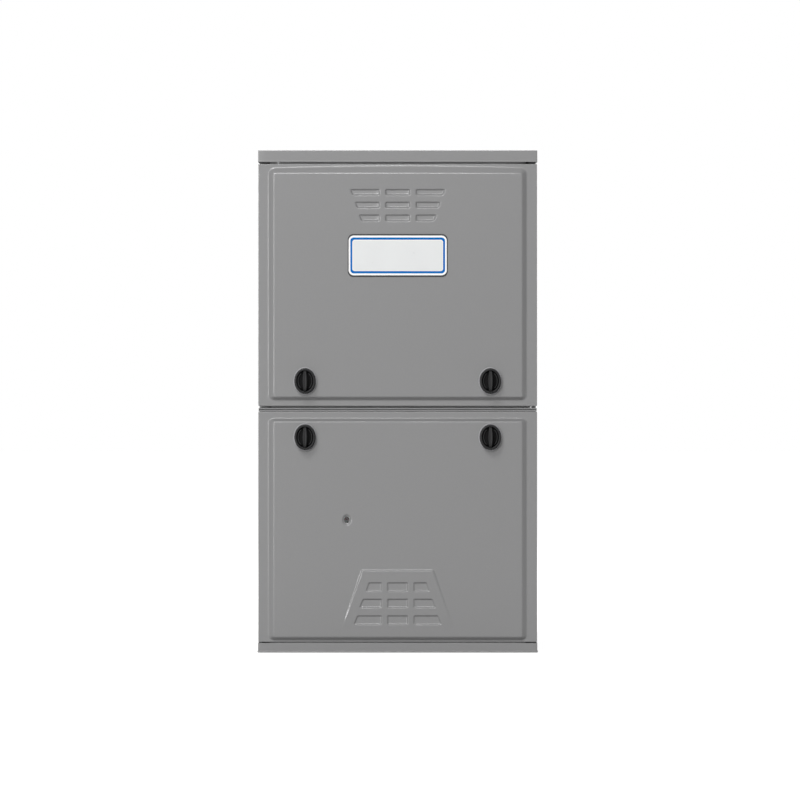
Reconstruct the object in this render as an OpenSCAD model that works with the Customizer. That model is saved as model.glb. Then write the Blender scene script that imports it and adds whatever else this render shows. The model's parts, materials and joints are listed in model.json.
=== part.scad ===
// Upflow condensing gas furnace with a forced air blower.
// Millimetres. +Z is up, the doors face -Y, and the origin is the centre of the footprint on the floor.

/* [Casing] */
// Width over the doors
body_w = 493.5; // [493:0.5:497]
// Height of the cabinet
body_h = 889; // [886:1:892]
// Depth from the raised door panels to the back
body_d = 749; // [746:1:752]
// Thickness of the casing and door sheets
sheet = 1.2; // [1:0.1:1.4]
// Height of the band under the top plate
cap_skirt = 20.5; // [19:0.5:22]
// Height of the band around the base
base_skirt = 16.8; // [16:0.2:18]
// Height of the shelf that parts the two compartments
deck_z = 430.1; // [429:0.1:431]

/* [Doors] */
// Lowest edge of the upper door
upper_z0 = 436.4; // [436:0.1:437]
// Highest edge of the upper door
upper_z1 = 864.7; // [864:0.1:865]
// Lowest edge of the lower door
lower_z0 = 18.6; // [18.2:0.1:19]
// Highest edge of the lower door
lower_z1 = 426.6; // [426:0.1:426.6]
// Depth of the door pans behind their flat margin
pan_d = 21; // [20:0.5:23]
// How far the raised panels stand out of the margin
raise = 8; // [6:0.5:9]
// Width of the bevel around a raised panel
bevel = 11.4; // [10:0.2:12]
// Rise of the arched top bevel of the upper door
arch = 5; // [3:0.5:5.5]
// Depth of the pressed louvres
louvre_d = 2.4; // [1.5:0.1:3]

/* [Knobs and fittings] */
// Width of a knob
knob_w = 37.9; // [36:0.1:40]
// Height of a knob
knob_h = 45.2; // [43:0.1:46]
// How far a knob stands out of the door
knob_d = 22; // [20:1:24]
// Distance of the knobs from the middle
knob_x = 163.8; // [162:0.1:165]
// Height of the upper pair of knobs
knob_z_upper = 480.6; // [480:0.1:482]
// Height of the lower pair of knobs
knob_z_lower = 381.3; // [380:0.1:382]
// Radius of a latch shank
shank_r = 6; // [5.5:0.1:6.5]
// Width of the name plate
badge_w = 176.5; // [170:0.5:180]
// Height of the name plate
badge_h = 75.9; // [72:0.1:78]

/* [Heat exchanger] */
// Number of burners and primary tubes
burner_n = 4; // [3:1:4]
// Distance between neighbouring burners
burner_pitch = 86; // [82:1:88]
// Outer radius of a primary tube
tube_r = 19; // [17:0.5:20]
// Number of fins of the secondary coil
fin_n = 18; // [12:1:22]

/* [Blower] */
// Outer radius of the blower wheel
wheel_r = 127; // [120:1:128]
// Width of the blower wheel
wheel_w = 200; // [190:2:204]
// Number of wheel blades
blade_n = 36; // [24:2:40]
// Radius of the motor shaft
shaft_r = 6.35; // [6:0.05:7]

/* [Hidden] */
$fn = 48;
eps = 0.5;

// Depths, from the knobs at the front to the back
total_d = body_d + knob_d;
y_knob = -total_d / 2;
y_face = y_knob + knob_d;
y_margin = y_face + raise;
y_case = y_margin + pan_d;
y_back = total_d / 2;
y_vest = -146;

// Widths
proud = 0.5;
half_door = body_w / 2;
half_cap = half_door + proud;
half_case = half_door - 1.5;
half_in = half_case - sheet;
y_cap = y_margin - proud;
y_case_back = y_back - proud - 1.5;
y_in_back = y_case_back - sheet;

// Door hinge lines: hooked lips under the cap and in the base
hinge_y = y_margin + 1;
hinge_z_upper = upper_z1 + 2.1;
hinge_z_lower = lower_z0 - 1.4;

// Tongues of the doors, which reach up behind the cap's skirt and down behind the base's
head_hook_y = y_margin + 9;
foot_hook_y = y_margin + 4;
hook_l = 9;

// Vent, air intake and supply and return openings
vent_x = 200;
vent_y = -211;
intake_x = -60;
intake_y = -205;
pipe_r = 30.15;
socket_r = 30.25;
coupling_r = 34;
grommet_r = 36;
supply_box = [210, -118, 352];
return_box = [185, -90, 330];

// Blower and inducer axes
blower_y = 120;
blower_z = 232;
inducer_x = 150;
inducer_z = 520;

// Sight hole in the lower door
sight_x = -90.1;
sight_z = 235.1;
sight_w = 8.9;
sight_h = 11.7;
dimple_w = 18;
dimple_h = 22;

// Gas, electrical and drain entries
gas_y = -282;
gas_z = 655;
gas_r = 10.65;
// Bore of the pipe's reamed outer end, its depth, and the bore behind it
gas_seat_r = 7.85;
gas_seat_d = 22;
gas_bore_r = 6.95;
entry_y = -290;
entry_z = 600;
entry_step = 50;
knockout_r = 11.1;
collar_r = knockout_r + 1.5;
// Outer ends of the pipe, the drain and the conduit collars, just proud of the side wall
stub_x = half_case + 1.9;
drain_y = -215;
drain_z = 456;
drain_r = 9;

// Colours
painted = [0.58, 0.58, 0.59];
zinc = [0.72, 0.74, 0.75];
steel = [0.62, 0.63, 0.65];
foil = [0.80, 0.81, 0.82];
moulded_black = [0.09, 0.09, 0.10];
moulded_grey = [0.24, 0.24, 0.25];
pipe_white = [0.90, 0.90, 0.88];
gas_iron = [0.16, 0.16, 0.17];
brass_tone = [0.75, 0.62, 0.32];
board_green = [0.10, 0.35, 0.22];
signal_red = [0.70, 0.12, 0.10];

// ---------- shared shapes ----------

// Counter-clockwise outline of a convex polygon with every corner rounded to radius r in n steps
function rounded(pts, r, n = 4) = [
  for (i = [0:len(pts) - 1])
    let (
      p = pts[i],
      before = pts[(i + len(pts) - 1) % len(pts)],
      after = pts[(i + 1) % len(pts)],
      u = (before - p) / norm(before - p),
      v = (after - p) / norm(after - p),
      half = acos(u * v) / 2,
      centre = p + (u + v) / norm(u + v) * r / sin(half),
      start = p + u * r / tan(half) - centre,
      a0 = atan2(start[1], start[0])
    )
    for (k = [0:n])
      let (a = a0 + (180 - 2 * half) * k / n) centre + r * [cos(a), sin(a)]
];

function rect(x0, x1, z0, z1) = [[x0, z0], [x1, z0], [x1, z1], [x0, z1]];

// Trapezoid given by its left and right ends at the bottom and at the top
function trapezoid(z0, left0, right0, z1, left1, right1) =
  [[left0, z0], [right0, z0], [right1, z1], [left1, z1]];

function ellipse(w, h, n = 48) =
  [for (i = [0:n - 1]) [w / 2 * cos(360 * i / n), h / 2 * sin(360 * i / n)]];

function moved(pts, x, z) = [for (p = pts) p + [x, z]];

// Rounded rectangle whose top edge is an arch of the given rise
function arched(x0, x1, z0, z1, rise, r, n = 16) = concat(
  [for (k = [0:4]) [x0 + r, z0 + r] + r * [cos(180 + 22.5 * k), sin(180 + 22.5 * k)]],
  [for (k = [0:4]) [x1 - r, z0 + r] + r * [cos(270 + 22.5 * k), sin(270 + 22.5 * k)]],
  [for (k = [0:4]) [x1 - r, z1 - r] + r * [cos(22.5 * k), sin(22.5 * k)]],
  [for (k = [1:n - 1])
    let (t = k / n) [(x1 - r) * (1 - t) + (x0 + r) * t, z1 + rise * (1 - pow(2 * t - 1, 2))]],
  [for (k = [0:4]) [x0 + r, z1 - r] + r * [cos(90 + 22.5 * k), sin(90 + 22.5 * k)]]
);

module block(x0, x1, y0, y1, z0, z1) {
  translate([x0, y0, z0]) cube([x1 - x0, y1 - y0, z1 - z0]);
}

// Outline in X and Z, carried straight from y0 to y1
module slab(outline, y0, y1) {
  translate([0, y1, 0]) rotate([90, 0, 0]) linear_extrude(y1 - y0) polygon(outline);
}

// Outline in Y and Z, carried straight from x0 to x1
module side_slab(outline, x0, x1) {
  translate([x0, 0, 0]) rotate([90, 0, 90]) linear_extrude(x1 - x0) polygon(outline);
}

// Solid between outline a at depth ya and outline b, of as many points, at depth yb
module loft(a, ya, b, yb) {
  n = len(a);
  polyhedron(
    points = concat([for (p = a) [p[0], ya, p[1]]], [for (p = b) [p[0], yb, p[1]]]),
    faces = concat(
      [[for (i = [n - 1:-1:0]) i]],
      [[for (i = [0:n - 1]) n + i]],
      [for (i = [0:n - 1]) [i, (i + 1) % n, n + (i + 1) % n]],
      [for (i = [0:n - 1]) [i, n + (i + 1) % n, n + i]]
    ),
    convexity = 4
  );
}

// Draws a right-hand shape on both sides
module both_sides() {
  children();
  mirror([1, 0, 0]) children();
}

module rod_x(x0, x1, y, z, r) {
  translate([x0, y, z]) rotate([0, 90, 0]) cylinder(h = x1 - x0, r = r);
}

module rod_y(x, y0, y1, z, r) {
  translate([x, y0, z]) rotate([-90, 0, 0]) cylinder(h = y1 - y0, r = r);
}

module rod_z(x, y, z0, z1, r) {
  translate([x, y, z0]) cylinder(h = z1 - z0, r = r);
}

// Clearance holes through a sheet that starts at x, y or z. They have 32 flats outside radius r
// and hold nothing: what passes through is carried elsewhere
port_n = 32;

function port(r) = ellipse(2 * r / cos(180 / port_n), 2 * r / cos(180 / port_n), port_n);

module port_x(x, y, z, r) {
  translate([x - 1, y, z]) rotate([0, 90, 0]) linear_extrude(sheet + 2) polygon(port(r));
}

module port_y(x, y, z, r) {
  translate([x, y - 1, z]) rotate([-90, 0, 0]) linear_extrude(sheet + 2) polygon(port(r));
}

module port_z(x, y, z, r) {
  translate([x, y, z - 1]) linear_extrude(sheet + 2) polygon(port(r));
}

// Tube of eight flats that follows the points of a route
module swept(route, r) {
  sides = 8;
  last = len(route) - 1;
  function heading(i) =
    let (d = route[min(i + 1, last)] - route[max(i - 1, 0)]) d / norm(d);
  function ring(i) =
    let (
      t = heading(i),
      helper = abs(t[1]) < 0.8 ? [0, 1, 0] : [1, 0, 0],
      u = cross(t, helper) / norm(cross(t, helper)),
      v = cross(t, u)
    )
    [for (k = [0:sides - 1]) route[i] + r * (cos(360 * k / sides) * u + sin(360 * k / sides) * v)];
  polyhedron(
    points = [for (i = [0:last]) each ring(i)],
    faces = concat(
      [[for (k = [0:sides - 1]) k]],
      [[for (k = [sides - 1:-1:0]) last * sides + k]],
      [for (i = [0:last - 1]) for (k = [0:sides - 1])
        [i * sides + k, (i + 1) * sides + k, i * sides + (k + 1) % sides]],
      [for (i = [0:last - 1]) for (k = [0:sides - 1])
        [i * sides + (k + 1) % sides, (i + 1) * sides + k, (i + 1) * sides + (k + 1) % sides]]
    ),
    convexity = 6
  );
}

// Points along a smooth bend through p0 and p3, pulled towards p1 and p2
function bend(p0, p1, p2, p3, n = 14) = [
  for (i = [0:n])
    let (t = i / n)
    p0 * pow(1 - t, 3) + p1 * 3 * t * pow(1 - t, 2) + p2 * 3 * t * t * (1 - t) + p3 * pow(t, 3)
];

// ---------- casing ----------

module casing_wrapper() {
  z0 = sheet;
  z1 = body_h - sheet;
  lip = 20;
  color(painted) difference() {
    union() {
      difference() {
        block(-half_case, half_case, y_case, y_case_back, z0, z1);
        block(-half_in, half_in, y_case - 1, y_in_back, z0 - 1, z1 + 1);
      }
      both_sides() block(half_in - lip, half_in, y_case, y_case + sheet, z0, z1);
    }
    port_x(-half_case, gas_y, gas_z, gas_r + 6);
    port_x(-half_case, entry_y, entry_z, collar_r + 0.3);
    port_x(-half_case, entry_y, entry_z - entry_step, collar_r + 0.3);
    port_x(-half_case, drain_y, drain_z, drain_r);
  }
}

module top_cap() {
  z0 = body_h - cap_skirt;
  color(painted) difference() {
    block(-half_cap, half_cap, y_cap, y_back, z0, body_h);
    block(-half_cap + sheet, half_cap - sheet, y_cap + sheet, y_back - sheet, z0 - 1, body_h - sheet);
    block(-supply_box[0], supply_box[0], supply_box[1], supply_box[2], z0, body_h + 1);
    port_z(vent_x, vent_y, body_h - sheet, grommet_r);
    port_z(intake_x, intake_y, body_h - sheet, grommet_r);
  }
}

module base_pan() {
  leg_x = 230;
  leg_y = [-320, 350];
  leg_hole_r = 4.2;
  rail_x = [198, 226];
  rail_z = [sheet, 22];
  color(painted) difference() {
    union() {
      difference() {
        block(-half_cap, half_cap, y_cap, y_back, 0, base_skirt);
        block(-half_cap + sheet, half_cap - sheet, y_cap + sheet, y_back - sheet, sheet, base_skirt + 1);
      }
      // channels that carry the air filter
      both_sides() difference() {
        block(rail_x[0], rail_x[1], return_box[1] - 20, return_box[2] + 30, rail_z[0], rail_z[1]);
        block(rail_x[0] + sheet, rail_x[1] - sheet, return_box[1] - 21, return_box[2] + 31,
          rail_z[0] - 1, rail_z[1] - sheet);
      }
    }
    block(-return_box[0], return_box[0], return_box[1], return_box[2], -1, base_skirt);
    for (x = [-leg_x, leg_x]) for (y = leg_y) rod_z(x, y, -1, sheet + 1, leg_hole_r);
  }
}

module blower_deck() {
  nose_y = y_margin + 3;
  nose_top = 432.8;
  nose_bottom = 427.2;
  groove = [429.3, 430.9];
  groove_d = 8;
  nose_half = half_door - 0.4;
  strike = [410, 452];
  opening_x = 115;
  color(painted) difference() {
    union() {
      block(-half_in, half_in, y_case + sheet, y_in_back, deck_z, deck_z + sheet);
      // nose of the rail between the doors
      block(-nose_half, nose_half, nose_y, y_case, nose_bottom, nose_top);
      // strike flange that the latch paws hook behind
      block(-half_in + 20, half_in - 20, y_case, y_case + sheet, strike[0], strike[1]);
    }
    block(-half_door, half_door, nose_y - 1, nose_y + groove_d, groove[0], groove[1]);
    block(-opening_x, opening_x, scroll_y[0], scroll_y[1], deck_z - 1, deck_z + sheet + 1);
  }
}

module vestibule_panel() {
  z0 = deck_z + sheet;
  z1 = body_h - sheet;
  color(zinc) difference() {
    union() {
      block(-half_in, half_in, y_vest - sheet, y_vest, z0, z1);
      both_sides() block(half_in - sheet, half_in, y_vest - 14, y_vest, z0, z1);
    }
    for (x = tube_places()) port_y(x, y_vest - sheet, pass_z(0), tube_r + 1);
    block(-coil_half, coil_half, y_vest - 3, y_vest + 1, coil_z[0], coil_z[1]);
  }
}

// Glass fibre mats with a foil face, on the side and back walls of each compartment
module casing_liner() {
  thick = 10;
  gap = 0.3;
  upper = [deck_z + sheet + gap, body_h - sheet - gap];
  lower = [base_skirt + 12, deck_z - gap];
  y1 = y_in_back - gap;
  color(foil) for (band = [[upper, y_vest + gap], [lower, -60]]) difference() {
    block(-half_in + gap, half_in - gap, band[1], y1, band[0][0], band[0][1]);
    block(-half_in + thick, half_in - thick, band[1] - 1, y1 - thick, band[0][0] - 1, band[0][1] + 1);
  }
}

// ---------- doors ----------

upper_panel_z = [445.2, 858.5];
lower_panel_z = [20.4, 415.1];
upper_inner_z = [454.1, 847];
lower_inner_z = [29.2, 408];
panel_half = 229.8;
inner_half = panel_half - bevel;
corner_r = 8;
inner_r = 2.5;

// One row of three pressed louvres: the middle one, and side ones that reach out to a slanting end
module louvre_row(z_top, z_bottom, middle, side_in, out_top, out_bottom, grow, y0, y1) {
  slope = 2.2;
  r = 2.6;
  for (s = [-1, 0, 1]) {
    left0 = s == 0 ? -middle : s > 0 ? side_in : -out_bottom;
    right0 = s == 0 ? middle : s > 0 ? out_bottom : -side_in;
    left1 = s == 0 ? -middle : s > 0 ? side_in : -out_top;
    right1 = s == 0 ? middle : s > 0 ? out_top : -side_in;
    mouth = trapezoid(
      z_bottom - grow, left0 - grow, right0 + grow,
      z_top + grow, left1 - grow, right1 + grow
    );
    inset = slope - grow;
    floor_line = trapezoid(
      z_bottom + inset, left0 + inset, right0 - inset,
      z_top - inset, left1 + inset, right1 - inset
    );
    loft(rounded(mouth, r, 3), y0, rounded(floor_line, r, 3), y1);
  }
}

module upper_louvres(grow, y0, y1) {
  louvre_row(820.9, 807.9, 23, 30.9, 86.2, 81, grow, y0, y1);
  louvre_row(798.5, 785.4, 23, 30.9, 77.5, 73, grow, y0, y1);
  louvre_row(775.9, 762, 23, 30.9, 70.7, 64.8, grow, y0, y1);
}

module lower_louvres(grow, y0, y1) {
  louvre_row(125.2, 107.5, 19.4, 27.1, 52, 58, grow, y0, y1);
  louvre_row(96.1, 78.6, 19.4, 27.1, 62.4, 69.4, grow, y0, y1);
  louvre_row(66.7, 48.9, 19.4, 27.1, 72.3, 79.2, grow, y0, y1);
}

// Pan with returned edges behind the flat margin
module door_pan(z0, z1) {
  difference() {
    block(-half_door, half_door, y_margin, y_case - 0.6, z0, z1);
    block(-half_door + sheet, half_door - sheet, y_margin + sheet, y_case, z0 + sheet, z1 - sheet);
  }
}

module shank_holes(z, r) {
  for (x = [-knob_x, knob_x]) translate([x, y_face - 1, z]) rotate([-90, 0, 0])
    linear_extrude(y_case - y_face) polygon(port(r));
}

bush_r = 9;

module upper_door() {
  outer = arched(-panel_half, panel_half, upper_panel_z[0], upper_panel_z[1], arch, corner_r);
  inner = arched(-inner_half, inner_half, upper_inner_z[0], upper_inner_z[1], 0, inner_r);
  color(painted) difference() {
    union() {
      door_pan(upper_z0, upper_z1);
      loft(inner, y_face, outer, y_margin + 0.1);
      block(-half_door + 20, half_door - 20, head_hook_y, head_hook_y + sheet,
        upper_z1 - sheet, upper_z1 + hook_l);
      upper_louvres(sheet, y_face + eps, y_face + louvre_d + sheet);
    }
    difference() {
      translate([0, sheet, 0]) loft(inner, y_face, outer, y_margin + sheet);
      upper_louvres(sheet, y_face + eps, y_face + louvre_d + sheet);
    }
    translate([0, -0.01, 0]) upper_louvres(0, y_face, y_face + louvre_d);
    shank_holes(knob_z_upper, bush_r);
  }
}

// Raised field around the lower louvres: full height at its top edge, fading out at its foot
module lower_field() {
  top_z = 146.9;
  foot_z = 44;
  top_half = 63.2;
  foot_half = 97.6;
  rise = 2.6;
  edge = 2.5;
  back = y_face + sheet / 2;
  foot_y = y_face;
  front = y_face - rise;
  polyhedron(
    points = [
      [-foot_half, back, foot_z], [foot_half, back, foot_z],
      [top_half, back, top_z], [-top_half, back, top_z],
      [-foot_half + edge, foot_y, foot_z + edge], [foot_half - edge, foot_y, foot_z + edge],
      [top_half - edge, front, top_z - edge], [-top_half + edge, front, top_z - edge]
    ],
    faces = [[0, 2, 3], [0, 1, 2], [4, 6, 5], [4, 7, 6], [0, 5, 1], [0, 4, 5], [1, 6, 2], [1, 5, 6],
      [2, 7, 3], [2, 6, 7], [3, 4, 0], [3, 7, 4]]
  );
}

module lower_door() {
  outer = arched(-panel_half, panel_half, lower_panel_z[0], lower_panel_z[1], 0, corner_r);
  inner = arched(-inner_half, inner_half, lower_inner_z[0], lower_inner_z[1], 0, inner_r);
  hole = moved(ellipse(sight_w, sight_h), sight_x, sight_z);
  color(painted) difference() {
    union() {
      door_pan(lower_z0, lower_z1);
      loft(inner, y_face, outer, y_margin + 0.1);
      lower_field();
      block(-half_door + 20, half_door - 20, foot_hook_y, foot_hook_y + sheet,
        lower_z0 - hook_l, lower_z0 + sheet);
      lower_louvres(sheet, y_face + eps, y_face + louvre_d + sheet);
      // striker that presses the interlock plunger
      block(striker_x - 12, striker_x + 12, y_margin, striker_y, striker_z - 10, striker_z + 10);
    }
    difference() {
      translate([0, sheet, 0]) loft(inner, y_face, outer, y_margin + sheet);
      lower_louvres(sheet, y_face + eps, y_face + louvre_d + sheet);
      slab(moved(ellipse(dimple_w + 3, dimple_h + 3), sight_x, sight_z), y_face, y_face + 4.2);
      block(striker_x - 12, striker_x + 12, y_face + sheet, y_margin + 3, striker_z - 10, striker_z + 10);
    }
    translate([0, -2.7, 0]) lower_louvres(0, y_face, y_face + 2.7 + louvre_d);
    loft(moved(ellipse(dimple_w, dimple_h), sight_x, sight_z), y_face - 0.01,
      moved(ellipse(sight_w + 2, sight_h + 2), sight_x, sight_z), y_face + 3);
    slab(hole, y_face, y_face + 6);
    shank_holes(knob_z_lower, bush_r);
  }
}

// Mat of glass fibre behind a door's raised panel
module door_mat(z0, z1, holes) {
  difference() {
    block(-205, 205, y_margin + 8, y_margin + 18, z0, z1);
    for (s = [-1, 1]) rod_y(s * knob_x, y_margin, y_case, holes, 16);
  }
}

module upper_door_liner() {
  color(foil) door_mat(462, 842, knob_z_upper);
}

module lower_door_liner() {
  color(foil) difference() {
    door_mat(36, 402, knob_z_lower);
    slab(moved(ellipse(dimple_w + 14, dimple_h + 14), sight_x, sight_z), y_margin, y_case);
    block(striker_x - 16, striker_x + 16, y_margin, y_case, striker_z - 14, 410);
  }
}

module name_plate() {
  thick = 1.4;
  place = [0, 702.6];
  corner = 10;
  edge = 0.8;
  function plate(inset) = moved(
    rounded(
      rect(inset - badge_w / 2, badge_w / 2 - inset, inset - badge_h / 2, badge_h / 2 - inset),
      corner - inset, 8
    ),
    place[0], place[1]
  );
  color(pipe_white) loft(plate(edge), y_face - thick, plate(0), y_face);
}

// Clear plug behind the sight hole
module sight_glass() {
  color([0.75, 0.80, 0.82]) union() {
    slab(moved(ellipse(sight_w - 0.4, sight_h - 0.4), sight_x, sight_z), y_face + 3.4, y_face + 4.3);
    slab(moved(ellipse(dimple_w, dimple_h), sight_x, sight_z), y_face + 4.2, y_face + 6.2);
  }
}

// Bush that each latch shank turns in, with the light rim that shows around the knob
module bezel(z) {
  for (s = [-1, 1]) translate([s * knob_x, 0, z]) difference() {
    union() {
      slab(ellipse(knob_w + 3, knob_h + 3), y_face - 1, y_face);
      rod_y(0, y_face, y_face + 12, 0, bush_r);
      rod_y(0, y_face + sheet, y_face + 4, 0, bush_r + 3);
    }
    rod_y(0, y_face - 2, y_face + 13, 0, shank_r + 0.06);
  }
}

module upper_bezels() { color(zinc) bezel(knob_z_upper); }
module lower_bezels() { color(zinc) bezel(knob_z_lower); }

// Oval dished knob with a raised rim, two crescent hollows and a grip bar
module knob(x, z) {
  base_y = y_face - 1.2;
  rim_y = y_knob + 8;
  dish_y = rim_y + 6;
  rim = 2.6;
  ring = 3.4;
  grip = [[-2.3, -19], [2.3, -19], [4, -6], [4, 6], [2.3, 19], [-2.3, 19], [-4, 6], [-4, -6]];
  crest = [for (p = grip) [p[0] * 0.62, p[1] * 0.97]];
  translate([x, 0, z]) difference() {
    union() {
      difference() {
        loft(ellipse(knob_w - 2, knob_h - 2), rim_y, ellipse(knob_w, knob_h), base_y);
        loft(ellipse(knob_w - 2 - 2 * rim, knob_h - 2 - 2 * rim), rim_y - 0.01,
          ellipse(knob_w - 5 - 2 * rim, knob_h - 5 - 2 * rim), dish_y);
      }
      loft(crest, y_knob, grip, dish_y + 1);
      // step between the two arcs of each crescent
      intersection() {
        difference() {
          slab(ellipse(knob_w - 2 * rim - 2 * ring, knob_h - 2 * rim - 2 * ring), dish_y - 2, dish_y + 1);
          slab(ellipse(knob_w - 2 * rim - 4 * ring, knob_h - 2 * rim - 4 * ring), dish_y - 3, dish_y + 2);
        }
        block(-20, 20, dish_y - 3, dish_y + 2, -16, 16);
      }
    }
    rod_y(0, base_y - 6, base_y + 1, 0, shank_r);
  }
}

module knob_upper_left() { color(moulded_black) knob(-knob_x, knob_z_upper); }
module knob_upper_right() { color(moulded_black) knob(knob_x, knob_z_upper); }
module knob_lower_left() { color(moulded_black) knob(-knob_x, knob_z_lower); }
module knob_lower_right() { color(moulded_black) knob(knob_x, knob_z_lower); }

// Shank with a flat paw. The paw lies level until the knob is turned to lock
module latch(x, z, side) {
  paw_y = [y_case + 3.2, y_case + 6.2];
  paw_half = 7;
  paw_l = 38;
  paw_heel = 10;
  paw = rect(side > 0 ? -paw_heel : -paw_l, side > 0 ? paw_l : paw_heel, -paw_half, paw_half);
  translate([x, 0, z]) union() {
    rod_y(0, y_face - 7.2, paw_y[1] + 3, 0, shank_r);
    slab(rounded(paw, 5), paw_y[0], paw_y[1]);
    rod_y(0, paw_y[1], paw_y[1] + 4, 0, 8);
  }
}

module latch_upper_left() { color(zinc) latch(-knob_x, knob_z_upper, 1); }
module latch_upper_right() { color(zinc) latch(knob_x, knob_z_upper, -1); }
module latch_lower_left() { color(zinc) latch(-knob_x, knob_z_lower, 1); }
module latch_lower_right() { color(zinc) latch(knob_x, knob_z_lower, -1); }

// ---------- combustion ----------

// Places of the burners and primary tubes across the width
function tube_places() = [for (i = [0:burner_n - 1]) (i - (burner_n - 1) / 2) * burner_pitch];

// Heights of the three passes of a primary tube
function pass_z(i) = 790 - 70 * i;

coil_half = 175;
coil_z = [455, 541];
tube_wall = 1.5;
bend_front_y = -80;
bend_rear_y = 270;
coupling_y = 342;

box_y0 = -262;
box_half = 165;
box_z = [752, 830];

probe_x = burner_pitch * 1.5;
probe_z = 762;

module burner_box() {
  y1 = y_vest - sheet;
  color(zinc) difference() {
    block(-box_half, box_half, box_y0, y1, box_z[0], box_z[1]);
    block(-box_half + sheet, box_half - sheet, box_y0 + sheet, y1 + 1, box_z[0] + sheet, box_z[1] - sheet);
    for (x = tube_places()) port_y(x, box_y0, pass_z(0), 11);
    port_z(intake_x, intake_y, box_z[1] - sheet, pipe_r + 0.3);
    for (x = [-probe_x, probe_x]) port_y(x, box_y0, probe_z, 4.2);
  }
}

// Inshot burners: a bell mouth, a throat and a flared flame end, each on a foot
module burners() {
  y0 = box_y0 + 6;
  y1 = y_vest - 6;
  color(steel) for (x = tube_places()) translate([x, 0, pass_z(0)]) union() {
    translate([0, y0, 0]) rotate([-90, 0, 0]) rotate_extrude() polygon([
      [15, 0], [11, 12], [11, 60], [17, y1 - y0 - 8], [17, y1 - y0], [15.5, y1 - y0], [15.5, y1 - y0 - 8],
      [9.5, 60], [9.5, 12], [13.5, 0]
    ]);
    block(5, 9, y0 + 40, y0 + 44, box_z[0] + sheet - pass_z(0), -8.6);
  }
}

manifold_y = -292;
manifold_r = 10.5;

module gas_manifold() {
  end = 150;
  riser_x = -120;
  color(gas_iron) difference() {
    union() {
      rod_x(-end, end, manifold_y, pass_z(0), manifold_r);
      rod_x(-end - 8, -end, manifold_y, pass_z(0), manifold_r + 3);
      rod_z(riser_x, manifold_y, 722, pass_z(0), manifold_r);
    }
    rod_x(-end, end - 8, manifold_y, pass_z(0), manifold_r - 2.5);
    rod_z(riser_x, manifold_y, 721, pass_z(0), manifold_r - 2.5);
    for (x = tube_places()) rod_y(x, manifold_y, manifold_y + 14, pass_z(0), 4);
  }
}

// Hexagonal brass jets, one for each burner
module orifice_spuds() {
  color(brass_tone) for (x = tube_places()) translate([x, 0, pass_z(0)]) difference() {
    union() {
      rod_y(0, manifold_y + 8.5, manifold_y + 12, 0, 4);
      translate([0, manifold_y + 11, 0]) rotate([-90, 0, 0]) cylinder(h = 9, r = 6.5, $fn = 6);
      rod_y(0, manifold_y + 19, manifold_y + 34, 0, 4.5);
    }
    rod_y(0, manifold_y + 8, manifold_y + 35, 0, 1.2);
  }
}

valve_x = [-158, -82];
valve_y = [-322, -262];
valve_z = [632, 722];
valve_mid = (valve_x[0] + valve_x[1]) / 2;
switch_z = 700;

module gas_valve() {
  color(steel) difference() {
    union() {
      block(valve_x[0], valve_x[1], valve_y[0] + 8, valve_y[1], valve_z[0], valve_z[1]);
      rod_y(valve_mid - 16, valve_y[0], valve_y[0] + 9, 662, 13);
      rod_y(valve_mid + 18, valve_y[0] + 2, valve_y[0] + 9, 660, 9);
      rod_x(valve_x[0] - 12, valve_x[0] + 1, gas_y, gas_z, 17);
      block(valve_mid - 24, valve_mid + 24, valve_y[0] + 3, valve_y[0] + 9, switch_z - 12, switch_z + 12);
    }
    // track of the switch
    block(valve_mid - 20, valve_mid + 20, valve_y[0] + 2, valve_y[0] + 7, switch_z - 7, switch_z + 7);
    rod_x(valve_x[0] - 13, valve_x[0] + 2, gas_y, gas_z, gas_r + 0.05);
  }
}

// Slide that stops the gas, drawn at its left end
module gas_valve_switch() {
  color(signal_red) union() {
    block(valve_mid - 19, valve_mid - 5, valve_y[0] + 3.5, valve_y[0] + 6.6, switch_z - 6.5, switch_z + 6.5);
    block(valve_mid - 14, valve_mid - 10, valve_y[0] - 1, valve_y[0] + 4, switch_z - 5, switch_z + 5);
  }
}

// Pipe through the side wall into the valve, with a collar inside the wall
module gas_pipe() {
  color(gas_iron) difference() {
    union() {
      rod_x(-stub_x, valve_x[0] - 1, gas_y, gas_z, gas_r);
      rod_x(-half_in + 4, -half_in + 16, gas_y, gas_z, gas_r + 4);
    }
    rod_x(-stub_x - 1, -stub_x + gas_seat_d, gas_y, gas_z, gas_seat_r);
    rod_x(-stub_x + gas_seat_d - 1, valve_x[0], gas_y, gas_z, gas_bore_r);
  }
}

module probe(x, r_body) {
  color(pipe_white) union() {
    rod_y(x, box_y0 - 16, box_y0 + 14, probe_z, 4);
    rod_y(x, box_y0 - 4, box_y0, probe_z, r_body);
  }
  color(steel) union() {
    rod_y(x, box_y0 + 14, y_vest - 24, probe_z, 1.5);
    block(x - 1.5, x + 1.5, y_vest - 27, y_vest - 23.5, 760.5, 770);
  }
}

module igniter() { probe(-probe_x, 8); }
module flame_sensor() { probe(probe_x, 6); }

reset_places = [-box_half + 12, box_half - 12];
reset_z = 812;

module rollout_switches() {
  color(moulded_black) for (x = reset_places) difference() {
    union() {
      rod_y(x, box_y0 - 12, box_y0, reset_z, 9);
      block(x - 11, x + 11, box_y0 - 2, box_y0, reset_z - 10, reset_z + 10);
    }
    rod_y(x, box_y0 - 13, box_y0 - 5, reset_z, 3.4);
  }
}

// Button stands 3 mm proud and travels 2 mm
module reset_button(x) {
  color(signal_red) union() {
    rod_y(x, box_y0 - 14, box_y0 - 8, reset_z, 3.1);
    rod_y(x, box_y0 - 15, box_y0 - 14, reset_z, 2.6);
  }
}

module rollout_reset_left() { reset_button(reset_places[0]); }
module rollout_reset_right() { reset_button(reset_places[1]); }

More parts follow.
